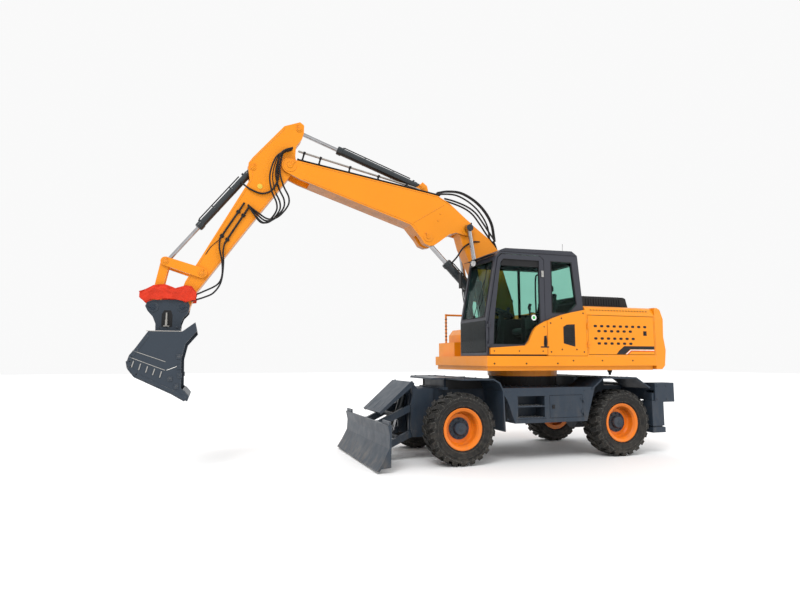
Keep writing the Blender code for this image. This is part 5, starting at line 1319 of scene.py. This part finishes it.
def build_welds():
    """Weld beads along the seams of booms and arm."""
    seams = Piece("upper_boom_welds", "orange", "upper_boom", "orange")
    weld(seams, UPPER, [(0.40, 0.300), (0.66, 0.362), (0.80, 0.350), (1.5, 0.272), (2.3, 0.182),
                        (3.02, 0.101)], 0.1752)
    weld(seams, UPPER, [(0.86, -0.335), (1.02, -0.240), (1.7, -0.206), (2.4, -0.170), (2.92, -0.144)],
         0.1752)
    weld(seams, UPPER, [(0.98, -0.225), (0.52, 0.265)], 0.1752)
    for side in (1, -1):
        for u, v, radius in ((0.55, 0.10, 0.020), (0.56, -0.03, 0.020)):
            seams.bar(UPPER.at(u, v, side * 0.174), UPPER.at(u, v, side * 0.181), radius, 18, radius * 0.8)
    seams.done()
    seams = Piece("arm_welds", "orange", "arm", "orange")
    weld(seams, ARM, [(-0.47, 0.405), (0.24, 0.494), (0.36, 0.492), (0.56, 0.330), (1.3, 0.263),
                      (2.0, 0.196), (2.40, 0.165)], 0.1302)
    weld(seams, ARM, [(0.45, -0.064), (0.77, -0.052), (1.6, -0.028), (2.42, -0.008)], 0.1302)
    seams.done()
    seams = Piece("base_boom_welds", "orange", "base_boom", "orange")
    weld(seams, BASE, [(0.20, 0.160), (0.585, 0.260), (1.28, 0.342), (1.55, 0.392)], 0.1302)
    weld(seams, BASE, [(0.50, -0.118), (0.862, -0.142), (1.548, -0.164), (1.80, -0.164)], 0.1302)
    seams.done()


def build_cylinder_details():
    """Each cylinder's gland, bands, ports, pipes and clamps."""
    rows = (("lift_cylinders", LIFT_BASE, tuple(BASE.end), 1.16, 0.062, 0.036, (0.24, -0.24), -1),
            ("adjust_cylinder", ADJUST_BASE, ADJUST_TOP, 0.81, 0.075, 0.042, (0.0,), 1),
            ("arm_cylinder", ARM_CYLINDER_BASE, ARM_CYLINDER_TOP, 1.56, 0.062, 0.034, (0.0,), 1),
            ("bucket_cylinder", BUCKET_CYLINDER_BASE, ROCKER_TOP, 1.24, 0.055, 0.030, (0.0,), 1),)
    for name, base, top, gland, radius, rod, lanes, way in rows:
        piece = Piece(f"{name}_fittings", "barrel", name, "cylinder_black", bevel=0.002, smooth=35.0)
        pipes = Piece(f"{name}_pipes", "hose", name, "cylinder_black")
        along = (Vector(top) - Vector(base)).normalized()
        along = Vector((along.x, 0, along.y))
        up = Vector((-along.z, 0, along.x)) * way
        for lane in lanes:
            start = at(base[0], BOOM_Y + lane, base[1])
            neck = start + along * gland
            piece.ring(neck - along * 0.036, along, radius * 1.17, radius * 0.9, 0.070, 28)
            piece.ring(neck + along * 0.006, along, radius * 1.02, rod * 1.03, 0.014, 28)
            piece.ring(start + along * (radius + 0.055), along, radius * 1.10, radius * 0.9, 0.035, 28)
            for i in range(8):
                turn = 2 * math.pi * i / 8
                spoke = up * math.cos(turn) + Y * math.sin(turn)
                piece.bolt(neck - along * 0.002 + spoke * radius * 1.03, along, radius * 0.09, 0.006)
            foot = start + along * (radius + 0.10) + up * radius
            head = neck - along * 0.085 + up * radius
            for spot in (foot, head):
                piece.bar(spot - up * 0.01, spot + up * 0.022, 0.020, 12, 0.017)
            rise = up * (0.024 if lane == 0.0 else 0.022)
            pipes.tube([head + rise * 0.6, head + rise - along * 0.03, head + rise - along * 0.10,
                        foot + rise + along * 0.25, foot + rise + along * 0.10,
                        foot + rise + along * 0.07], 0.0095, 10, 5)
            for share in (0.3, 0.7):
                spot = foot.lerp(head, share)
                piece.bar(spot - up * 0.004, spot + up * 0.012, 0.012, 8)
                axis_spot = spot - up * radius
                piece.ring(axis_spot, along, radius * 1.05, radius * 0.95, 0.018, 28)
        piece.done()
        pipes.done()


def top_of(u):
    """How high the upper boom's top edge is across from its line of pins."""
    return 0.372 - (u - 0.80) * 0.1119


def high_pipe(u):
    """How high the upper pair of boom pipes runs."""
    return 0.394 - (u - 1.06) * 0.056


def patch(u, v, half_along, half_across):
    """The corners of a small plate round a point."""
    return [(u + a * half_along, v + b * half_across) for a, b in ((-1, -1), (1, -1), (1, 1), (-1, 1))]


def build_pipes():
    """Steel pipes along the boom and the arm in their clamps."""
    lower = Piece("boom_pipes_low", "hose", "upper_boom")
    upper = Piece("boom_pipes_high", "pipe", "upper_boom", "steel")
    clamps = Piece("boom_pipe_clamps", "black", "upper_boom", bevel=0.002)
    for y in (0.155, 0.122):
        lower.tube([UPPER.at(u, top_of(u) + 0.026, y) for u in (0.62, 0.95, 1.6, 2.3, 3.0)]
                   + [UPPER.at(3.10, top_of(3.05) + 0.030, y)], 0.0115)
        upper.tube([UPPER.at(1.00, 0.386, y)] + [UPPER.at(u, high_pipe(u), y)
                                                 for u in (1.2, 1.8, 2.5, 3.0)]
                   + [UPPER.at(3.12, 0.280, y)], 0.0105)
    for u in (1.25, 1.75, 2.25, 2.75, 3.02):
        foot, head = top_of(u) - 0.004, high_pipe(u) + 0.020
        clamps.plate(UPPER, [(u - 0.014, foot), (u + 0.014, foot), (u + 0.014, head),
                             (u - 0.014, head)], 0.136, 0.141)
        for v in (top_of(u) + 0.026, high_pipe(u)):
            clamps.plate(UPPER, patch(u, v, 0.018, 0.016), 0.106, 0.171)
    for piece in (lower, upper, clamps):
        piece.done()


def build_arm_pipes():
    """Short pipes on the arm's side, and the round tag."""
    sides = Piece("arm_pipes", "hose", "arm")
    clamps = Piece("arm_pipe_clamps", "black", "arm", bevel=0.002)
    for v0, v1 in ((0.192, 0.165), (0.102, 0.070)):
        sides.tube([ARM.at(0.93, v0 + 0.01, 0.150), ARM.at(1.10, v0, 0.148),
                    ARM.at(1.40, (v0 + v1) / 2, 0.148), ARM.at(1.62, v1, 0.150)], 0.015)
        for u, v in ((1.10, v0), (1.55, v1 + 0.004)):
            clamps.plate(ARM, patch(u, v, 0.02, 0.030), 0.129, 0.152)
            clamps.bolt(ARM.at(u, v + 0.022, 0.152), Y, 0.007, 0.006)
    sides.done()
    clamps.done()
    tag = Piece("arm_tag", "brass", "arm", "orange")
    tag.ring(ARM.at(0.565, 0.171, 0.1335), Y, 0.040, 0.010, 0.007, 28)
    tag.bar(ARM.at(0.565, 0.171, 0.131), ARM.at(0.565, 0.171, 0.142), 0.014, 16)
    tag.done()


def build_riser_pipes():
    """Four pipes up the back of the base boom."""
    risers = Piece("base_boom_pipes", "hose", "base_boom")
    brackets = Piece("base_boom_clamps", "black", "base_boom", bevel=0.002)
    back = ((0.30, 0.215), (0.60, 0.320), (1.00, 0.365), (1.35, 0.410), (1.60, 0.452), (1.74, 0.455))
    for y in (-0.06, -0.02, 0.02, 0.06):
        risers.tube([BASE.at(u, v, y) for u, v in back], 0.014)
    for u, v in ((0.62, 0.322), (1.30, 0.404)):
        brackets.plate(BASE, patch(u, v - 0.0125, 0.02, 0.0325), -0.085, 0.085)
    risers.done()
    brackets.done()


def world_points(points, y):
    """A line of (x, z) points in the lane at y, in the row frame."""
    return [at(x, y, z) for x, z in points]


def build_hoses():
    """Hoses over the joints, each one bending with the two bodies it joins."""
    outer = ((0.256, 3.676), (0.309, 3.966), (0.451, 4.196), (0.651, 4.366), (0.907, 4.476),
             (1.161, 4.478), (1.357, 4.433))
    inner = ((0.266, 3.640), (0.399, 3.809), (0.511, 3.962), (0.650, 4.126), (0.821, 4.228),
             (1.060, 4.300), (1.240, 4.330))
    k_from, k_to = at(0.42, BOOM_Y, 3.70), at(1.15, BOOM_Y, 4.35)
    for i, (line, y) in enumerate(((outer, 0.02), (outer, -0.02), (inner, 0.055), (inner, -0.06),
                                   (outer, -0.16))):
        hose = Piece(f"knuckle_hose_{i + 1}", "hose", "base_boom")
        hose.tube(world_points(line, y), 0.0155, 12, 8)
        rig.blend(hose.done(ride=False), "base_boom", "upper_boom", k_from, k_to)
    tip = ((3.871, 4.884), (4.009, 4.819), (4.075, 4.715), (4.115, 4.472), (4.065, 4.24),
           (3.981, 4.059), (3.99, 3.916), (4.122, 3.741), (4.260, 3.700), (4.40, 3.80), (4.53, 3.92))
    a_from, a_to = at(4.02, BOOM_Y, 4.75), at(4.03, BOOM_Y, 4.00)
    for i, (spread, y) in enumerate(((0.0, 0.055), (0.06, 0.020), (-0.07, 0.075), (0.12, 0.100))):
        hose = Piece(f"tip_hose_{i + 1}", "hose", "upper_boom")
        line = [(x + spread * math.sin(math.pi * k / 10), z - spread * 0.6 * math.sin(math.pi * k / 10))
                for k, (x, z) in enumerate(tip)]
        hose.tube(world_points(line, y), 0.0135, 12, 8)
        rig.blend(hose.done(ride=False), "upper_boom", "arm", a_from, a_to)
    hose = Piece("bucket_cylinder_hose", "hose", "upper_boom")
    hose.tube([at(x, 0.150, z) for x, z in tip[:3]] + [ARM.at(u, v, y) for u, v,
                                                       y in ((0.16, 0.12, 0.155), (0.30, 0.02, 0.155),
                                                             (0.50, -0.01, 0.155),
                                                             (0.645, 0.078, 0.155),
                                                             (0.697, 0.25, 0.150), (0.68, 0.40, 0.085),
                                                             (0.66, 0.46, 0.03))], 0.0145, 12, 8)
    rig.blend(hose.done(ride=False), "upper_boom", "arm", a_from, ARM.at(0.30, 0.02))


def build_small_hoses():
    """Hoses to the adjusting cylinder, the tool and the deck, and the arm's cable."""
    hose = Piece("adjust_hose", "hose", "base_boom")
    hose.tube([at(x, y, z) for x, y, z in ((0.56, 0.02, 3.62), (0.701, 0.05, 3.60), (0.880, 0.05, 3.50),
                                           (1.00, 0.03, 3.328), (1.07, -0.02, 3.235),
                                           (1.10, -0.06, 3.19))], 0.0145)
    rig.blend(hose.done(ride=False), "base_boom", "adjust_cylinder", at(0.80, 0, 3.55), at(1.02, 0, 3.28))
    lines = (((1.60, 0.168), (1.73, 0.09), (1.88, -0.06), (2.06, -0.185), (2.21, -0.205), (2.40, -0.11),
              (2.55, -0.02)), ((1.62, 0.075), (1.75, 0.01), (1.90, -0.10), (2.14, -0.225),
                               (2.33, -0.235), (2.46, -0.17), (2.62, -0.05)))
    for i, line in enumerate(lines):
        hose = Piece(f"tool_hose_{i + 1}", "hose", "arm")
        hose.tube([ARM.at(u, v, 0.155 + 0.02 * min(k, 3)) for k, (u, v) in enumerate(line)], 0.0125, 12, 8)
        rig.blend(hose.done(ride=False), "arm", "bucket", ARM.at(2.25, 0.0), ARM.at(2.55, 0.0))
    cable = Piece("arm_cable", "hose", "arm")
    cable.tube([ARM.at(1.62, 0.165, 0.140), ARM.at(1.70, 0.185, 0.138), ARM.at(1.79, 0.200, 0.134),
                ARM.at(1.92, 0.195, 0.133)], 0.005)
    cable.done()
    feet = ((-0.50, 1.62), (-0.48, 1.80), (-0.40, 1.98), (-0.25, 2.14), (-0.12, 2.26))
    for i, y in enumerate((-0.06, -0.02, 0.02, 0.06)):
        hose = Piece(f"deck_hose_{i + 1}", "hose", "upper")
        end = BASE.at(0.30, 0.215, y)
        hose.tube(world_points(feet, BOOM_Y + y) + [end], 0.0145, 12, 8)
        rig.blend(hose.done(ride=False), "upper", "base_boom", at(-0.47, BOOM_Y, 1.75),
                 at(-0.16, BOOM_Y, 2.22))


# ------------------------------------------------------------- bucket and cloth
def beside(a, b, way):
    """The unit vector across the line from a to b, on the side that way points to."""
    run = (b - a).normalized()
    out = Vector((run.y, -run.x))
    return -out if out.dot(way) < 0 else out


def build_bucket_details():
    """Wear strips under the bucket, a rim and plates on its sides, and its cutting edge."""
    wear = Piece("bucket_wear_parts", "tool", "bucket", "slate", bevel=0.003)
    shell = [Vector(point) for point in ((0.43, -0.415), (0.55, -0.60), (0.625, -0.70), (0.650, -0.781),
                                         (0.635, -0.87), (0.55, -0.985), (0.077, -1.218),
                                         (-0.095, -1.321))]
    for y in (-0.585, -0.30, 0.0, 0.30, 0.585):
        for a, b in zip(shell[3:], shell[4:]):
            out = beside(a, b, Vector((0.3, -0.95)))
            points = [a, b, b + out * 0.012, a + out * 0.012]
            wear.plate(TOOL, points, y - 0.022, y + 0.022)
    for side in (1, -1):
        for a, b in zip(shell[:-1], shell[1:]):
            inward = beside(a, b, Vector((0.2, -0.8)) - (a + b) / 2)
            points = [a + inward * 0.004, b + inward * 0.004, b + inward * 0.050, a + inward * 0.050]
            wear.plate(TOOL, points, side * 0.599, side * 0.606)
        for x, z in ((0.10, -1.02), (0.02, -1.12), (-0.02, -0.98), (-0.005, -0.86), (0.0, -0.72)):
            wear.plate(TOOL, [(x - 0.028, z - 0.034), (x + 0.028, z - 0.034), (x + 0.032, z + 0.030),
                              (x - 0.024, z + 0.034)], side * 0.599, side * 0.612)
            wear.bolt(TOOL.at(x, z, side * 0.611), Y * side, 0.010, 0.006)
    edge = [(-0.060, -1.165), (-0.105, -1.322), (-0.128, -1.330), (-0.150, -1.262), (-0.140, -1.245),
            (-0.090, -1.185)]
    wear.plate(TOOL, edge, -0.598, 0.598)
    wear.done()


def build_bracket_details():
    """The bracket's bosses, a black plate painted as the shade of its opening, the ram, and the weld lines on the
    bucket's sides, drawn bright as a painted highlight.
    """
    bosses = Piece("bracket_bosses", "tool", "bucket", "slate", bevel=0.002)
    for side in (1, -1):
        for x, z in ((0.0, 0.0), (0.39, -0.014)):
            bosses.ring(TOOL.at(x, z, side * 0.2035), Y, 0.072, 0.048, 0.008, 28)
        for x, z in ((0.06, -0.30), (0.30, -0.30), (0.18, -0.30)):
            bosses.bolt(TOOL.at(x, z, side * 0.2005), Y * side, 0.014, 0.009)
    bosses.plate(TOOL, [(0.10, -0.12), (0.26, -0.12), (0.28, -0.30), (0.08, -0.30)], -0.165, 0.165)
    bosses.done()
    opening_shade = Piece("bracket_opening_shade", "black", "bucket", bevel=0.002)
    ram = Piece("bracket_ram", "pipe", "bucket", "steel", smooth=35.0)
    seams = Piece("bucket_weld_highlights_and_wear", "steel", "bucket", "steel")
    for side in (1, -1):
        # a flat black plate: painted shade where the bracket's opening would be
        opening_shade.plate(TOOL, [(0.24, -0.055), (0.15, -0.055), (0.125, -0.12), (0.125, -0.292),
                            (0.27, -0.292), (0.27, -0.12)], side * 0.2002, side * 0.2022)
        ram.bar(TOOL.at(0.205, -0.09, side * 0.206), TOOL.at(0.205, -0.21, side * 0.206), 0.014, 14)
        ram.bar(TOOL.at(0.205, -0.19, side * 0.208), TOOL.at(0.205, -0.285, side * 0.208), 0.021, 16)
        ram.bar(TOOL.at(0.165, -0.285, side * 0.204), TOOL.at(0.245, -0.285, side * 0.204), 0.010, 10)
        # bright steel beads: a painted highlight along the welds; the five short strokes below are wear marks
        for a, b in (((0.43, -0.372), (-0.02, -0.372)), ((0.585, -0.640), (0.17, -0.790)),
                     ((0.625, -0.725), (0.17, -0.905)), ((0.150, -0.905), (0.010, -0.850))):
            seams.tube([TOOL.at(*a, side * 0.601), TOOL.at(*b, side * 0.601)], 0.0055, 8, 4)
        for i in range(5):
            x = 0.565 - 0.088 * i
            z = -0.755 - (0.625 - x) * 0.395
            seams.tube([TOOL.at(x, z, side * 0.604), TOOL.at(x + 0.022, z - 0.085, side * 0.604)],
                       0.0085, 8, 4)
    opening_shade.done()
    ram.done()
    seams.done()


def build_cloth(name, side):
    """A rag pulled over the bracket's ear: up one face, over the top and down the other, all in creases."""
    columns, rows = 96, 64
    bottom = ((-0.175, 0.100), (-0.05, 0.075), (0.10, 0.112), (0.40, 0.100), (0.50, 0.062), (0.575, 0.130))
    top = ((-0.190, 0.215), (-0.12, 0.300), (-0.03, 0.318), (0.10, 0.268), (0.25, 0.325), (0.40, 0.298),
           (0.575, 0.205))
    bm = bmesh.new()
    grid = []
    for i in range(columns + 1):
        s = i / columns
        x = -0.188 + 0.760 * s
        low_z, high_z = along_line(bottom, x), along_line(top, x)
        column = []
        for k in range(rows + 1):
            t = k / rows
            fold = 1.0 - abs(2 * t - 1)
            lane = 0.2225 + 0.0165 * math.cos(math.pi * t)
            spot = Vector((x * 5.0 + 3.0 * side, t * 3.0, side * 2.0))
            crease = abs(noise.noise(spot * 1.7)) * 1.5 + abs(noise.noise(spot * 4.1)) * 0.6
            deep = noise.noise(Vector((x * 9.0 + t * 2.5, t * 1.4, 4.0 * side)))
            ragged = noise.noise(Vector((s * 8.0, 7.0 * side, t))) * 0.020
            z = low_z + (high_z - low_z) * math.sin(fold * math.pi / 2) ** 0.9 + ragged * (1 - fold)
            y = lane + (crease - 0.45) * 0.020 * (0.4 + fold) + deep * 0.012
            y = min(0.2560, max(0.2016, y))
            drift = noise.noise(Vector((x * 4.0, t * 6.0, 9.0 + side))) * 0.014
            column.append(bm.verts.new(TOOL.at(x + drift, z + deep * 0.008, side * y)))
        grid.append(column)
    for a, b in zip(grid, grid[1:]):
        for k in range(rows):
            bm.faces.new((a[k], a[k + 1], b[k + 1], b[k]))
    obj = placed(bm, name, MAT["cloth"])
    obj.data.shade_smooth()
    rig.ride(obj, "bucket")
    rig.slot(obj, "cloth_red")
    return obj


def along_line(points, x):
    """The height of a line of (x, height) points at x."""
    for a, b in zip(points, points[1:]):
        if x <= b[0]:
            share = max(0.0, (x - a[0]) / (b[0] - a[0]))
            return a[1] + (b[1] - a[1]) * share
    return points[-1][1]


# ------------------------------------------------------------- light and camera
def build_stage():
    """A white floor under a bright sky, and three soft suns."""
    bm = bmesh.new()
    half = 60.0
    corners = ((-half, -half), (half, -half), (half, half), (-half, half))
    bm.faces.new([bm.verts.new((x, y, -0.001)) for x, y in corners])
    n = Nodes("floor_white")
    n.set(Roughness=0.9)
    n.colour(n.mix(n.ramp(n.noise(0.3, 3.0), 0.3, 0.7), (0.93, 0.93, 0.93), (0.95, 0.95, 0.95)))
    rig.stage(placed(bm, "floor", n.material))
    world = bpy.data.worlds.new("studio")
    world.use_nodes = True
    world.node_tree.nodes["Background"].inputs["Color"].default_value = (1.0, 1.0, 1.0, 1.0)
    world.node_tree.nodes["Background"].inputs["Strength"].default_value = 0.95
    bpy.context.scene.world = world
    suns = (("key", (7.0, 9.0, 13.0), 1.25, 24.0), ("fill", (-9.0, 7.0, 5.0), 0.35, 40.0),
            ("back", (-2.0, -10.0, 9.0), 0.45, 40.0))
    for name, spot, energy, spread in suns:
        light = bpy.data.lights.new(name, "SUN")
        light.energy = energy
        light.angle = math.radians(spread)
        lamp = bpy.data.objects.new(name, light)
        lamp.location = at(*spot)
        lamp.rotation_euler = Vector(spot).to_track_quat("Z", "Y").to_euler()
        bpy.context.scene.collection.objects.link(lamp)


def build_camera():
    """The camera at the front left, low down."""
    camera = bpy.data.cameras.new("camera")
    camera.sensor_width = 36.0
    camera.lens = 25.34
    camera.shift_x = 0.0069
    obj = bpy.data.objects.new("camera", camera)
    turn = math.radians(18.51)
    rise = math.radians(6.10)
    ahead = Vector((-math.sin(turn) * math.cos(rise), -math.cos(turn) * math.cos(rise), math.sin(rise)))
    obj.location = at(5.0745, 8.7899, 1.551)
    obj.rotation_euler = ahead.to_track_quat("-Z", "Y").to_euler()
    bpy.context.scene.collection.objects.link(obj)
    bpy.context.scene.camera = obj
    bpy.context.scene.view_settings.view_transform = "Standard"


dress_nodes()
for end, x in (("front", FRONT_X), ("rear", -FRONT_X)):
    for word, side in (("left", 1), ("right", -1)):
        build_tyre(f"{end}_{word}", x, side)
        build_hub(f"{end}_{word}", x, side)
for build in (build_glass, build_door_seals, build_door_fittings, build_window_seals, build_roof,
              build_lamps, build_mirror, build_cab_panels, build_seat, build_side_details,
              build_panel_details, build_tail, build_hood_details, build_right_side,
              build_chassis_details, build_toolbox_details, build_chassis_bolts, build_mudguard_details,
              build_blade_details, build_guard_details, build_pins, build_welds, build_cylinder_details,
              build_pipes, build_arm_pipes, build_riser_pipes, build_hoses, build_small_hoses,
              build_bucket_details, build_bracket_details):
    build()
for word, side in (("left", 1), ("right", -1)):
    rag = build_cloth(f"{word}_rag", side)
    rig.replaces(rag, f"{word}_cloth")
    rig.sheet(rag, flat=(0.78, 0.40), held="draped", rests_on=["bucket_bracket"])
build_stage()
build_camera()

SIZES = {"cad": [list(c) for c in CAD_BOX], "visual": [list(c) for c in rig.bounds()]}
with open("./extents.json", "w") as out:
    json.dump(SIZES, out)
